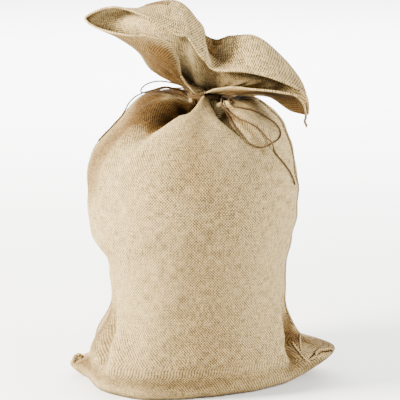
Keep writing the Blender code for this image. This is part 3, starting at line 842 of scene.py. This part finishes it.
@dataclass
class SackCloth:
    """The sack's one length of hessian, from the middle of the base to the hem of the mouth."""

    finish: bpy.types.Material
    columns: int = 240
    thickness: float = 1.5 * MM
    hem_thickness: float = 3.6 * MM
    hem_width: float = 9.0 * MM
    hem_start: float = 1.2
    hem_step: float = 0.4
    flat_width: float = 0.60
    flat_length: float = 1.05
    neck_x: float = 4.0 * MM
    neck_radius: float = 28.0 * MM
    collar_z: float = 524.8 * MM
    fold_centre_z: float = 400 * MM
    fold_reach: float = 80 * MM
    body_spacing: float = 6.0 * MM
    shoulder_spacing: float = 3.2 * MM
    mouth_spacing: float = 4.6 * MM
    shoulder_from: str = "slope"
    foot_tone: float = 0.32
    foot_height: float = 60 * MM
    # Painted light in a band low on the body.
    foot_painted_light: float = 0.6
    foot_painted_light_z: float = 24 * MM
    foot_painted_light_width: float = 13 * MM
    foot_ear_width: float = 26.0
    # Painted highlight along the hem's edge, weaker at the back.
    hem_painted_highlight: float = 0.25
    hem_light_back: float = 0.2
    hem_light_from: float = -0.4
    hem_light_width: float = 4 * MM
    hem_light_edge: float = 2 * MM
    dent: float = 1.3 * MM
    dents: tuple[Dent, ...] = (Dent(1.0, 5, 40, 9, -63, 2), Dent(0.7, 14, 21, 0, 110, 1))
    pleats: int = 26
    pleat_wander: float = 0.8
    pleat_waves: tuple[tuple[float, float, float], ...] = ((1.0, 3, 0.6), (0.7, 5, 2.1))
    neck_pleat: float = 22.0 * MM
    neck_below: float = 9 * MM
    neck_above: float = 12 * MM
    upright_below: float = 12 * MM
    soft_pleat: float = 7.0 * MM
    soft_below: float = 60 * MM
    soft_above: float = 70 * MM
    smooth_front: tuple[float, float, float] = (0.9, 82.0, 24.0)
    smooth_inside: tuple[float, float, float] = (0.85, 276.0, 55.0)
    base_rings: tuple[float, ...] = (0.35, 0.7, 0.9)
    base_depth: float = 0.1
    body_rows: int = field(default=0, init=False)
    points: np.ndarray = field(default=None, init=False)
    turn: np.ndarray = field(default=None, init=False)
    body_tone: np.ndarray = field(default=None, init=False)
    mouth_tone: np.ndarray = field(default=None, init=False)
    body_run: np.ndarray = field(default=None, init=False)

    def body_ring(self, ring: Ring) -> np.ndarray:
        """One level of the body as a squared oval.

        The radius at a turn is one over the root of the sum of the powers of its cosine and sine
        over the half widths. Heights are blended by the squares of the cosine and sine.

        Args:
            ring: The level's row in the table.

        Returns:
            Points round the cloth.
        """
        across = np.cos(self.turn)
        along = np.sin(self.turn)
        z = (np.where(across > 0, ring.z_left, ring.z_right) * across ** 2
             + np.where(along > 0, ring.z_front, ring.z_back) * along ** 2) * MM
        half_x = np.where(across > 0, ring.left, ring.right) * MM
        half_y = np.where(along > 0, ring.front + ring.skew * across, ring.back) * MM
        radius = (np.abs(across / half_x) ** ring.square
                  + np.abs(along / half_y) ** ring.square) ** (-1 / ring.square)
        return np.stack((ring.middle * MM - radius * across, -radius * along, z), axis=-1)

    def mouth_rings(self) -> list[np.ndarray]:
        """Collar, mid, wall, crest and hem rings of the open mouth."""
        knots = [line.turn for line in MOUTH]
        collar = np.stack((self.neck_x - self.neck_radius * np.cos(self.turn),
                           -self.neck_radius * np.sin(self.turn),
                           np.full_like(self.turn, self.collar_z)), axis=-1)
        rings = [collar]
        for place in ("mid", "wall", "crest", "hem"):
            x, up, y = (round_spline(knots, [getattr(line, f"{place}_{way}") for line in MOUTH],
                                     self.turn) for way in ("x", "up", "y"))
            rings.append(seen_place(x, up, y))
        return rings

    def control_rings(self) -> tuple[np.ndarray, list[int]]:
        """Control rings from the base's edge to the hem, and the faces between them."""
        body = [self.body_ring(ring) for ring in BODY]
        mouth = self.mouth_rings()
        rings = np.stack(body + mouth)
        gaps = np.linalg.norm(np.diff(rings, axis=0), axis=-1).mean(axis=1)
        shoulder = [ring.name for ring in BODY].index(self.shoulder_from)
        spacing = ([self.body_spacing] * shoulder
                   + [self.shoulder_spacing] * (len(body) - 1 - shoulder)
                   + [self.mouth_spacing] * len(mouth))
        steps = [max(2, round(gap / space)) for gap, space in zip(gaps, spacing)]
        self.body_rows = sum(steps[:len(body) - 1]) + 1
        return rings, steps

    def run_of(self, points: np.ndarray) -> np.ndarray:
        """Height up the cloth of each row, in metres: the mean length from the first row."""
        step = np.linalg.norm(np.diff(points, axis=0), axis=-1).mean(axis=1)
        return np.append(0.0, np.cumsum(step))

    def ring_run(self) -> np.ndarray:
        """Height up the cloth of each level in the table, along the mean of its four sides."""
        width = np.array([(r.left + r.right + r.front + r.back) / 4 for r in BODY])
        height = np.array([(r.z_left + r.z_right + r.z_front + r.z_back) / 4 for r in BODY])
        return np.append(0.0, np.cumsum(np.hypot(np.diff(width), np.diff(height)))) * MM

    def fold_relief(self, folds: Sequence[Fold], run: np.ndarray,
                    radius: np.ndarray) -> tuple[np.ndarray, np.ndarray]:
        """Sum of the folds: a soft bell across each fold's run, fading along it.

        Args:
            folds: The table's rows.
            run: Height up the cloth of each row.
            radius: Distance of each point from the middle, which turns angles into lengths.

        Returns:
            The relief in metres, and the painted shade (+) or painted light (-).
        """
        relief = np.zeros_like(radius)
        tone = np.zeros_like(radius)
        reach = np.maximum(radius, self.fold_reach)
        for fold in folds:
            away = turn_from(self.turn, fold.turn_a) * reach
            across = math.radians(fold.turn_b - fold.turn_a) * reach
            rise = (fold.run_b - fold.run_a) * MM
            up = run - fold.run_a * MM
            along = np.clip((away * across + up * rise) / (across ** 2 + rise ** 2), 0, 1)
            distance = np.hypot(away - along * across, up - along * rise)
            strength = 1 - (1 - fold.fade) * along
            spread = strength * bell(distance, fold.width * MM)
            relief += fold.height * MM * spread
            tone += fold.tone * spread
        return relief, tone

    def ear_relief(self, z: np.ndarray) -> np.ndarray:
        """How far the two empty bottom corners stand out: a bell round and a bell up."""
        relief = np.zeros_like(z)
        for ear in EARS:
            level = z - ear.z * MM
            height = np.where(level < 0, ear.below, ear.above) * MM
            relief += (ear.reach * MM * bell(turn_from(self.turn, ear.turn),
                                             math.radians(ear.width)) * bell(level, height))
        return relief

    def pleat_wave(self) -> np.ndarray:
        """Uneven pleats round the neck, from -1 in a valley to 0 on a crest."""
        wander = sum(size * np.sin(waves * self.turn + start)
                     for size, waves, start in self.pleat_waves)
        return (np.cos(self.pleats * self.turn + self.pleat_wander * wander) - 1) / 2

    def pleat_share(self, smooth: tuple[float, float, float]) -> np.ndarray:
        """1 where soft pleats are full, less by a share around the turn where it is smooth."""
        share, middle, width = smooth
        return 1 - share * bell(turn_from(self.turn, middle), math.radians(width))

    def foot_shade(self, z: np.ndarray) -> np.ndarray:
        """Tone near the ground: browner towards it, painted light in a band but for the corners.
        """
        corners = sum(bell(turn_from(self.turn, ear.turn), math.radians(self.foot_ear_width))
                      for ear in EARS)
        return (self.foot_tone * np.exp(-z / self.foot_height)
                - self.foot_painted_light * (1 - corners) * bell(z - self.foot_painted_light_z, self.foot_painted_light_width))

    def shape_body(self, points: np.ndarray) -> np.ndarray:
        """Adds folds, ears and pleats to the filled body.

        Relief stands out level on the lower body and leans upwards over the shoulders, by the
        angle of the point above the body's centre.

        Args:
            points: The plain body, by row and column.

        Returns:
            The shaped body.
        """
        z = points[..., 2]
        offset = (points - points.mean(axis=1, keepdims=True))[..., :2]
        radius = np.linalg.norm(offset, axis=-1)
        outward = offset / np.maximum(radius, TINY)[..., None]
        run = self.body_run[:, None]
        # The folds' tones are painted shade and painted light.
        relief, self.body_tone = self.fold_relief(BODY_FOLDS, run, radius)
        self.body_tone += self.foot_shade(z)
        relief += self.dent * sum(
            dent.size * np.sin(dent.waves * self.turn + dent.rise * run)
            * np.sin(dent.cross_waves * self.turn + dent.cross_rise * run + dent.start)
            for dent in self.dents)
        below_tie = self.body_run[-1] - run
        depth = (self.neck_pleat * bell(below_tie, self.neck_below)
                 + self.soft_pleat * self.pleat_share(self.smooth_front)
                 * bell(below_tie, self.soft_below))
        relief = relief + depth * self.pleat_wave()
        lean = (np.arctan2(np.maximum(z - self.fold_centre_z, 0), radius)
                * (1 - bell(below_tie, self.upright_below)))
        level_out = relief * np.cos(lean) + self.ear_relief(z)
        shaped = points.copy()
        shaped[..., :2] += outward * level_out[..., None]
        shaped[..., 2] = np.maximum(z + relief * np.sin(lean), 0)
        return shaped

    def shape_mouth(self, points: np.ndarray) -> np.ndarray:
        """Adds the gathered pleats, deep at the tie and gone before the hem.

        Args:
            points: The plain mouth, by row and column.

        Returns:
            The shaped mouth.
        """
        run = self.run_of(points)[:, None]
        depth = (self.neck_pleat * bell(run, self.neck_above)
                 + self.soft_pleat * self.pleat_share(self.smooth_inside)
                 * bell(run, self.soft_above))
        reach = np.full(points.shape[:2], self.fold_reach)
        # The mouth folds' tones are painted shade and painted light.
        relief, self.mouth_tone = self.fold_relief(MOUTH_FOLDS, run, reach)
        # A painted highlight along the hem's edge, strongest at the front, replaces the folds'
        # tone there.
        edge = smooth_step((run - run[-1] + self.hem_light_width) / self.hem_light_edge)
        front = (self.hem_light_back + (1 - self.hem_light_back)
                 * smooth_step(np.sin(self.turn) - self.hem_light_from))
        self.mouth_tone += (-self.hem_painted_highlight * front - self.mouth_tone) * edge
        relief = relief + depth * self.pleat_wave()
        return points + grid_normals(points) * relief[..., None]

    def shape(self) -> np.ndarray:
        """Works out the whole cloth.

        Returns:
            Points by row and column, from the base's edge to the hem.
        """
        self.turn = np.arange(self.columns) * 2 * math.pi / self.columns
        rings, steps = self.control_rings()
        points = rising_spline(rings, steps)
        ring_rows = np.concatenate(([0], np.cumsum(steps[:len(BODY) - 1])))
        self.body_run = np.interp(np.arange(self.body_rows), ring_rows, self.ring_run())
        body = self.shape_body(points[:self.body_rows])
        mouth = self.shape_mouth(points[self.body_rows - 1:])
        return np.concatenate((body[:-1], mouth))

    def with_base(self, points: np.ndarray) -> np.ndarray:
        """Adds the rings of the flat base inside the first row."""
        centre = points[0].mean(axis=0)
        inner = [centre + (points[0] - centre) * share for share in self.base_rings]
        return np.concatenate((np.stack(inner), points))

    def corner_map(self) -> np.ndarray:
        """Places on the flat cloth, in metres, of each face's corners.

        Across is the share of the way round from the left side seam, the mean of that by length
        and that by turn, times the cloth's whole width. Up is the mean length up the rows. The
        fan of the base runs on below the first row.

        Returns:
            Across and up for each corner, face by face.
        """
        step = np.linalg.norm(np.roll(self.points, -1, axis=1) - self.points, axis=-1)
        way = np.pad(np.cumsum(step, axis=1), ((0, 0), (1, 0)))
        even = np.linspace(0, 1, self.columns + 1)
        across = (way / way[:, -1:] + even) * self.flat_width
        left, right = across[:, :-1], across[:, 1:]
        up = np.broadcast_to(self.run_of(self.points)[:, None], left.shape)
        quad_u = np.stack((left[:-1], right[:-1], right[1:], left[1:]), axis=-1)
        quad_v = np.stack((up[:-1], up[:-1], up[1:], up[1:]), axis=-1)
        fan_u = np.stack((left[0], right[0], left[0]), axis=-1)
        fan_v = np.tile((-self.base_depth, 0.0, 0.0), (self.columns, 1))
        return np.concatenate((np.stack((quad_u, quad_v), axis=-1).reshape(-1, 2),
                               np.stack((fan_u, fan_v), axis=-1).reshape(-1, 2)))

    def tree(self) -> BVHTree:
        """The cloth as a search tree, to lay other pieces on it."""
        return BVHTree.FromPolygons(self.points.reshape(-1, 3).tolist(),
                                    grid_faces(len(self.points), self.columns).tolist())

    def place(self, turn: np.ndarray, run: np.ndarray) -> tuple[np.ndarray, np.ndarray]:
        """Points of the finished body, and the outward way there, blended from the grid.

        Args:
            turn: Turns in degrees.
            run: Runs up the cloth in metres.

        Returns:
            Points and unit directions.
        """
        row = np.interp(run, self.body_run, np.arange(self.body_rows)) + len(self.base_rings)
        column = np.mod(turn / 360, 1) * self.columns
        low, left = np.floor(row).astype(int), np.floor(column).astype(int)
        up, over = (row - low)[..., None], (column - left)[..., None]
        high, right = low + 1, (left + 1) % self.columns
        left = left % self.columns
        blended = [(grid[low, left] * (1 - up) + grid[high, left] * up) * (1 - over)
                   + (grid[low, right] * (1 - up) + grid[high, right] * up) * over
                   for grid in (self.points, grid_normals(self.points))]
        return blended[0], unit(blended[1])

    def hem_share(self) -> np.ndarray:
        """Share of the hem's thickness in each row: full in the turned hem, thin below it."""
        run = self.run_of(self.points)
        turned = smooth_step((run - run[-1] + self.hem_start * self.hem_width)
                             / (self.hem_step * self.hem_width))
        thin = self.thickness / self.hem_thickness
        return np.round(thin + (1 - thin) * turned, 3)

    def thicken(self, thing: bpy.types.Object) -> None:
        """Gives the cloth its thickness inwards, and more of it in the turned hem."""
        hem = thing.vertex_groups.new(name="hem")
        near_hem = self.hem_share()
        for weight in np.unique(near_hem):
            rows_at = np.flatnonzero(near_hem == weight)
            chosen = rows_at[:, None] * self.columns + np.arange(self.columns)
            hem.add(chosen.ravel().tolist(), float(weight), "REPLACE")
        hem.add([self.points[..., 0].size], float(near_hem[0]), "REPLACE")
        wall = thing.modifiers.new("cloth thickness", "SOLIDIFY")
        wall.thickness = self.hem_thickness
        wall.vertex_group = hem.name
        wall.offset = -1

    def build(self) -> bpy.types.Object:
        """Makes the cloth's mesh with its thickness.

        Returns:
            The sack.
        """
        self.points = self.with_base(self.shape())
        vertices = np.concatenate((self.points.reshape(-1, 3),
                                   self.points[:1].mean(axis=1)))
        first = np.arange(self.columns)
        fan = np.stack((np.full_like(first, len(vertices) - 1), np.roll(first, -1), first), -1)
        faces = grid_faces(len(self.points), self.columns).tolist() + fan.tolist()
        thing = new_piece("sack_cloth", vertices, faces, self.finish)
        give_map(thing, "cloth", self.corner_map())
        # Painted shade and painted light for each vertex, read by the hessian as its tone.
        tone = np.concatenate((np.zeros((len(self.base_rings), self.columns)),
                               self.body_tone[:-1], self.mouth_tone))
        give_values(thing, "tone", np.append(tone.ravel(), 0))
        self.thicken(thing)
        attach(thing, "root")
        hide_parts("sack")
        2 * self.flat_width
        return thing


def stop_points(tree: BVHTree, stops: Sequence[Stop]) -> np.ndarray:
    """Where a run passes: places in the open, or on the cloth's front side behind them."""
    ahead = Vector((0, math.cos(VIEW_TILT), -math.sin(VIEW_TILT)))
    places = []
    for stop in stops:
        if stop.y is CLOTH_SIDE:
            start = seen_place(stop.x, stop.up, RAY_START)
            places.append(tree.ray_cast(Vector(start), ahead)[0])
        else:
            places.append(Vector(seen_place(stop.x, stop.up, stop.y)))
    return np.array(places)


@dataclass
class ClothRolls:
    """Rolled seams, pinched folds and curled tips of the sack's cloth."""

    cloth: SackCloth
    finish: bpy.types.Material
    step: float = 1.5 * MM
    around: int = 14
    sunk: float = 0.12
    seam_width: float = 9.0
    seam_height: float = 2.6
    # Tones of a seam's crest and flanks: painted shade beside the ridge.
    seam_crest: float = 0.35
    seam_flank: float = 1.0
    seam_step: float = 3.0
    tip: float = 0.02

    def solid(self, roll: Roll, line: np.ndarray, normal: np.ndarray) -> bpy.types.Object:
        """Makes a roll with an oval section that tapers at both ends.

        Args:
            roll: Its row in the table.
            line: Its middle line.
            normal: The way out of the cloth at each point.

        Returns:
            The piece.
        """
        way = lengths_along(line)
        near_end = np.minimum(way, way[-1] - way) / (roll.width * MM)
        taper = np.sqrt(np.clip(near_end, self.tip, 1))
        angle = round_angles(self.around)
        points = rings_round(line, square_to(unit(np.gradient(line, axis=0)), normal), angle,
                             roll.width * MM / 2 * taper[:, None],
                             roll.height * MM / 2 * taper[:, None])
        vertices, faces = capped_tube(points, line)
        thing = new_piece(f"sack_{roll.name}", vertices, faces, self.finish)
        # Painted shade, going from the crest's tone to the flanks'.
        tone = roll.crest + (roll.flank - roll.crest) * np.cos(angle) ** 2
        give_values(thing, "tone", np.append(np.tile(tone, len(line)), (roll.flank, roll.flank)))
        map_tube(thing, "cloth", np.tile(np.cos(angle) * roll.width * MM / 2, (len(line), 1)), way)
        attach(thing, "root")
        return thing

    def laid(self, tree: BVHTree, roll: Roll) -> bpy.types.Object:
        """A roll along its stops, set on the cloth where the stops are."""
        line = smooth_route(stop_points(tree, roll.stops), self.step)
        nearest = [tree.find_nearest(Vector(point)) for point in line]
        normal = np.array([hit[1] for hit in nearest])
        if roll.stops[0].y is CLOTH_SIDE:
            line = np.array([hit[0] for hit in nearest]) + normal * roll.height * MM * self.sunk
        return self.solid(roll, line, normal)

    def seam(self, name: str, marks: Sequence[Mark]) -> bpy.types.Object:
        """The ridge that a side seam makes, up the cloth."""
        route = smooth_route(np.array(marks), self.seam_step)
        line, normal = self.cloth.place(route[:, 0], route[:, 1] * MM)
        roll = Roll(name, self.seam_width, self.seam_height, self.seam_crest, self.seam_flank, ())
        return self.solid(roll, line, normal)

    def build(self) -> list[bpy.types.Object]:
        """Makes every roll and both side seams.

        Returns:
            The pieces.
        """
        tree = self.cloth.tree()
        return ([self.laid(tree, roll) for roll in ROLLS]
                + [self.seam(name, marks) for name, marks in SEAMS.items()])


@dataclass
class SeamStitches:
    """Overcast stitches that cross a side seam from one side to the other and back."""

    cloth: SackCloth
    finish: bpy.types.Material
    pitch: float = 9.0
    width: float = 11.0 * MM
    thread: float = 1.3 * MM
    bow: float = 1.9 * MM
    around: int = 5
    bends: int = 9

    def build(self, name: str, marks: Sequence[Mark]) -> bpy.types.Object:
        """Makes the stitches of one seam as one piece.

        Each stitch starts on one side of the seam and ends half a pitch further up on the other,
        and it stands out over the seam by the sine of its way across.

        Args:
            name: The seam's name.
            marks: Where the seam runs.

        Returns:
            The piece.
        """
        route = smooth_route(np.array(marks), self.pitch / 2)
        share = np.linspace(0, 1, self.bends)
        start, end = route[:-1, None], route[1:, None]
        middle = start + (end - start) * share[None, :, None]
        zigzag = np.where(np.arange(len(start)) % 2, 1.0, -1.0)[:, None] * (2 * share - 1)
        radius = np.linalg.norm(self.cloth.points[..., :2], axis=-1).max()
        turn = middle[..., 0] + zigzag * math.degrees(self.width / 2 / radius)
        line, normal = self.cloth.place(turn, middle[..., 1] * MM)
        line = line + normal * (self.bow * np.sin(math.pi * share)[None, :, None])
        tubes = rings_round(line, square_to(unit(np.gradient(line, axis=1)), normal),
                            round_angles(self.around), self.thread / 2, self.thread / 2)
        parts = [capped_tube(tube, path) for tube, path in zip(tubes, line)]
        size = len(parts[0][0])
        vertices = np.concatenate([part[0] for part in parts])
        faces = [[corner + size * k for corner in face]
                 for k, part in enumerate(parts) for face in part[1]]
        thing = new_piece(name.replace("seam", "stitches"), vertices, faces, self.finish)
        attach(thing, "root")
        return thing


# The twine
# ---------


@dataclass
class TwistedTwine:
    """Twine of three plies, carried along a route."""

    finish: bpy.types.Material
    diameter: float = 3.0 * MM
    lay: float = 7.0 * MM
    plies: int = 3
    around: int = 12
    step: float = 1.2 * MM
    groove: float = 0.16
    least_points: int = 8
    reference: tuple[float, float, float] = (0.30, 0.45, 0.84)

    def build(self, name: str, route: np.ndarray, closed: bool = False) -> bpy.types.Object:
        """Makes a run of twine.

        The section's radius is the twine's own times one less a groove between plies, which is
        the size of the cosine of half the plies times the angle, turned once in every lay.

        Args:
            name: The piece's name.
            route: Points of its middle line.
            closed: Whether it runs back into itself.

        Returns:
            The piece.
        """
        line = self.even(route, closed)
        if closed:
            ahead = np.roll(line, -1, axis=0) - np.roll(line, 1, axis=0)
        else:
            ahead = np.gradient(line, axis=0)
        way = lengths_along(line)
        angle = round_angles(self.around)
        twist = 2 * math.pi * way[:, None] / self.lay
        ply = np.abs(np.cos(self.plies / 2 * (angle + twist)))
        radius = self.diameter / 2 * (1 - self.groove + self.groove * ply)
        points = rings_round(line, square_to(unit(ahead), self.reference), angle, radius, radius)
        if closed:
            vertices = points.reshape(-1, 3)
            faces = (grid_faces(len(line) + 1, self.around) % len(vertices)).tolist()
        else:
            vertices, faces = capped_tube(points, line)
        thing = new_piece(name, vertices, faces, self.finish)
        give_values(thing, "ply", np.append(ply, np.zeros(len(vertices) - ply.size)))
        map_tube(thing, "cord", (angle + twist) * self.diameter / 2, way)
        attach(thing, "root")
        return thing

    def even(self, route: np.ndarray, closed: bool) -> np.ndarray:
        """Points a step apart along a route, by length."""
        if closed:
            route = np.concatenate((route, route[:1]))
        count = max(self.least_points, round(lengths_along(route)[-1] / self.step))
        return evenly(route, count, closed)


@dataclass
class TwineBow:
    """The tie: two turns round the neck, a knot behind it, two loops and two free ends."""

    cloth: SackCloth
    twine: TwistedTwine
    gap: float = 0.35 * MM
    tie_z: float = 520.0 * MM
    turns: int = 2
    knot_centre: tuple[float, float, float] = (4.0 * MM, 37.0 * MM, 518.0 * MM)
    knot_size: float = 1.35 * MM
    knot_depth: float = 0.9
    knot_points: int = 90
    wrap_points: int = 48
    wrap_open: float = 0.04
    wrap_ease: float = 0.5 * MM
    lay_passes: int = 30
    lay_step: float = 2.2 * MM
    hump_width: float = 9.0 * MM

    def clear_of(self, tree: BVHTree, route: np.ndarray, room: np.ndarray) -> np.ndarray:
        """The route with each point that is too near the cloth, or inside it, moved out."""
        moved = []
        for point, space in zip(route, np.broadcast_to(room, len(route))):
            near, normal, _, distance = tree.find_nearest(Vector(point))
            side = (Vector(point) - near).dot(normal)
            outside = near + normal * float(space)
            moved.append(outside if side < 0 or distance < space else Vector(point))
        return np.array(moved)

    def crossing_lift(self, route: np.ndarray, laid: list[np.ndarray]) -> np.ndarray:
        """How far each point rises to pass over the runs laid before it, as a low hump."""
        lift = np.zeros(len(route))
        for other in laid:
            distance = np.linalg.norm(route[:, None] - other[None], axis=-1).min(axis=1)
            hump = np.exp(-(distance / self.hump_width) ** 4)
            lift = np.maximum(lift, (self.twine.diameter + 2 * self.gap) * hump)
        return lift

    def apart(self, route: np.ndarray, laid: list[np.ndarray]) -> np.ndarray:
        """The route with each point that is too near an earlier run moved away from it."""
        room = self.twine.diameter + 2 * self.gap
        rows = np.arange(len(route))
        for other in laid:
            away = route[:, None] - other[None]
            distance = np.linalg.norm(away, axis=-1)
            near = distance.argmin(axis=1)
            gap = np.maximum(distance[rows, near], TINY)
            route = route + away[rows, near] * (np.maximum(room - gap, 0) / gap)[:, None]
        return route

    def laid_route(self, tree: BVHTree, stops: Sequence[Stop],
                   laid: list[np.ndarray]) -> np.ndarray:
        """A run that lies on the cloth, and over the runs that it crosses."""
        room = self.twine.diameter / 2 + 2 * self.gap
        route = smooth_route(stop_points(tree, stops), self.lay_step)
        for _ in range(self.lay_passes):
            route = self.clear_of(tree, route, room)
            route[1:-1] = (route[:-2] + 2 * route[1:-1] + route[2:]) / 4
        lift = self.crossing_lift(route, laid)
        return self.apart(self.clear_of(tree, route, room + lift), laid)

    def wrap_route(self) -> np.ndarray:
        """Turns round the neck: a flat helix that starts and ends at the knot."""
        radius = self.cloth.neck_radius + self.wrap_ease + self.twine.diameter / 2 + self.gap
        share = np.linspace(0, 1, self.turns * self.wrap_points)
        angle = 2 * math.pi * share * (self.turns - self.wrap_open) + math.pi / 2
        rise = (share - 0.5) * self.turns * (self.twine.diameter + self.gap)
        return np.stack((self.cloth.neck_x + radius * np.cos(angle), radius * np.sin(angle),
                         self.tie_z + rise), axis=-1)

    def knot_route(self) -> np.ndarray:
        """An overhand knot: a closed three-lobed curve whose strands pass over and under."""
        t = round_angles(self.knot_points)
        lobes = np.stack((np.sin(t) + 2 * np.sin(2 * t), -np.sin(3 * t) * self.knot_depth,
                          np.cos(t) - 2 * np.cos(2 * t)), axis=-1)
        return lobes * self.knot_size + self.knot_centre

    def build(self) -> list[bpy.types.Object]:
        """Makes every run of twine.

        Returns:
            The pieces.
        """
        tree = self.cloth.tree()
        pieces = []
        laid: list[np.ndarray] = []
        for name, stops in TWINE_RUNS.items():
            route = self.laid_route(tree, stops, laid)
            laid.append(route)
            piece = self.twine.build(name.replace("twine", "bow"), route)
            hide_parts(name)
            pieces.append(piece)
        wrap = self.twine.build("bow_wrap", self.wrap_route())
        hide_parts("tie_wrap")
        knot = self.twine.build("bow_knot", self.knot_route(), closed=True)
        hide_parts("tie_knot")
        return pieces + [wrap, knot]


# Studio
# ------


class Lamp(NamedTuple):
    """A soft square light: where it stands in degrees, its size, power in watts and colour."""

    azimuth: float
    elevation: float
    size: float
    power: float
    colour: tuple[float, float, float]


class Light(Enum):
    """The lights that face the sack."""

    KEY = Lamp(-72, 28, 0.7, 410, (1.0, 0.945, 0.83))
    FRONT = Lamp(-20, 40, 0.9, 14, (1.0, 1.0, 1.0))
    FILL = Lamp(74, 22, 1.0, 135, (1.0, 0.99, 0.96))


@dataclass
class Studio:
    """Camera, lights, world and floor."""

    floor_finish: FloorFinish
    aim: tuple[float, float, float] = (-5.4 * MM, 0.0, 327.0 * MM)
    distance: float = 4.0
    frame_width: float = 0.72
    sensor: float = 36.0
    floor_size: float = 14.0
    world_strength: float = 0.25
    lamp_distance: float = 2.4
    backdrop_power: float = 1050.0
    backdrop_size: tuple[float, float] = (5.0, 3.6)
    backdrop_place: tuple[float, float, float] = (0.0, 3.4, 1.9)

    def face_aim(self, thing: bpy.types.Object, back: Vector, distance: float) -> None:
        """Stands an object a distance back from the aim, facing it, and links it."""
        thing.location = Vector(self.aim) + back * distance
        thing.rotation_euler = (-back).to_track_quat("-Z", "Y").to_euler()
        bpy.context.scene.collection.objects.link(thing)

    def camera(self) -> None:
        """Makes the camera at the photograph's viewing angle and frame."""
        data = bpy.data.cameras.new("camera")
        data.sensor_width = self.sensor
        data.lens = self.sensor * self.distance / self.frame_width
        eye = bpy.data.objects.new("camera", data)
        self.face_aim(eye, Vector((0, -math.cos(VIEW_TILT), math.sin(VIEW_TILT))), self.distance)
        bpy.context.scene.camera = eye

    def light(self, name: str, lamp: Lamp) -> None:
        """Makes a soft square light that faces the sack."""
        data = bpy.data.lights.new(name, "AREA")
        data.size, data.energy, data.color = lamp.size, lamp.power, lamp.colour
        azimuth, elevation = math.radians(lamp.azimuth), math.radians(lamp.elevation)
        back = Vector((math.sin(azimuth) * math.cos(elevation),
                       -math.cos(azimuth) * math.cos(elevation), math.sin(elevation)))
        self.face_aim(bpy.data.objects.new(name, data), back, self.lamp_distance)

    def backdrop_light(self) -> None:
        """Makes the wide light that whitens the floor behind the sack, well clear of it."""
        data = bpy.data.lights.new("backdrop", "AREA")
        data.shape = "RECTANGLE"
        data.size, data.size_y = self.backdrop_size
        data.energy = self.backdrop_power
        lamp = bpy.data.objects.new("backdrop", data)
        lamp.location = self.backdrop_place
        bpy.context.scene.collection.objects.link(lamp)

    def floor(self) -> None:
        """Makes the floor."""
        corners = np.array(((-1, -1, 0), (1, -1, 0), (1, 1, 0), (-1, 1, 0))) * self.floor_size / 2
        new_piece("floor", corners, [(0, 1, 2, 3)], self.floor_finish.build())

    def world(self) -> None:
        """Lights everything evenly with white."""
        world = bpy.data.worlds.new("studio")
        world.use_nodes = True
        sky = world.node_tree.nodes["Background"]
        sky.inputs["Color"].default_value = (1, 1, 1, 1)
        sky.inputs["Strength"].default_value = self.world_strength
        bpy.context.scene.world = world

    def build(self) -> None:
        """Sets up the camera first, then the rest."""
        self.camera()
        self.world()
        self.floor()
        for light in Light:
            self.light(light.name.lower(), light.value)
        self.backdrop_light()


def main() -> None:
    """Builds the studio, the sack and its tie, and reports each piece."""
    logging.basicConfig(level=logging.INFO, format="%(name)s: %(message)s")
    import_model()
    Studio(FloorFinish()).build()
    hessian, jute = HessianFinish().build(), TwineFinish().build()
    cloth = SackCloth(hessian)
    pieces = [cloth.build()]
    pieces += ClothRolls(cloth, hessian).build()
    pieces += [SeamStitches(cloth, jute).build(name, marks) for name, marks in SEAMS.items()]
    pieces += TwineBow(cloth, TwistedTwine(jute)).build()
    for piece in pieces:
        LOG.info("%s: %d faces", piece.name, len(piece.data.polygons))


if __name__ == "__main__":
    main()
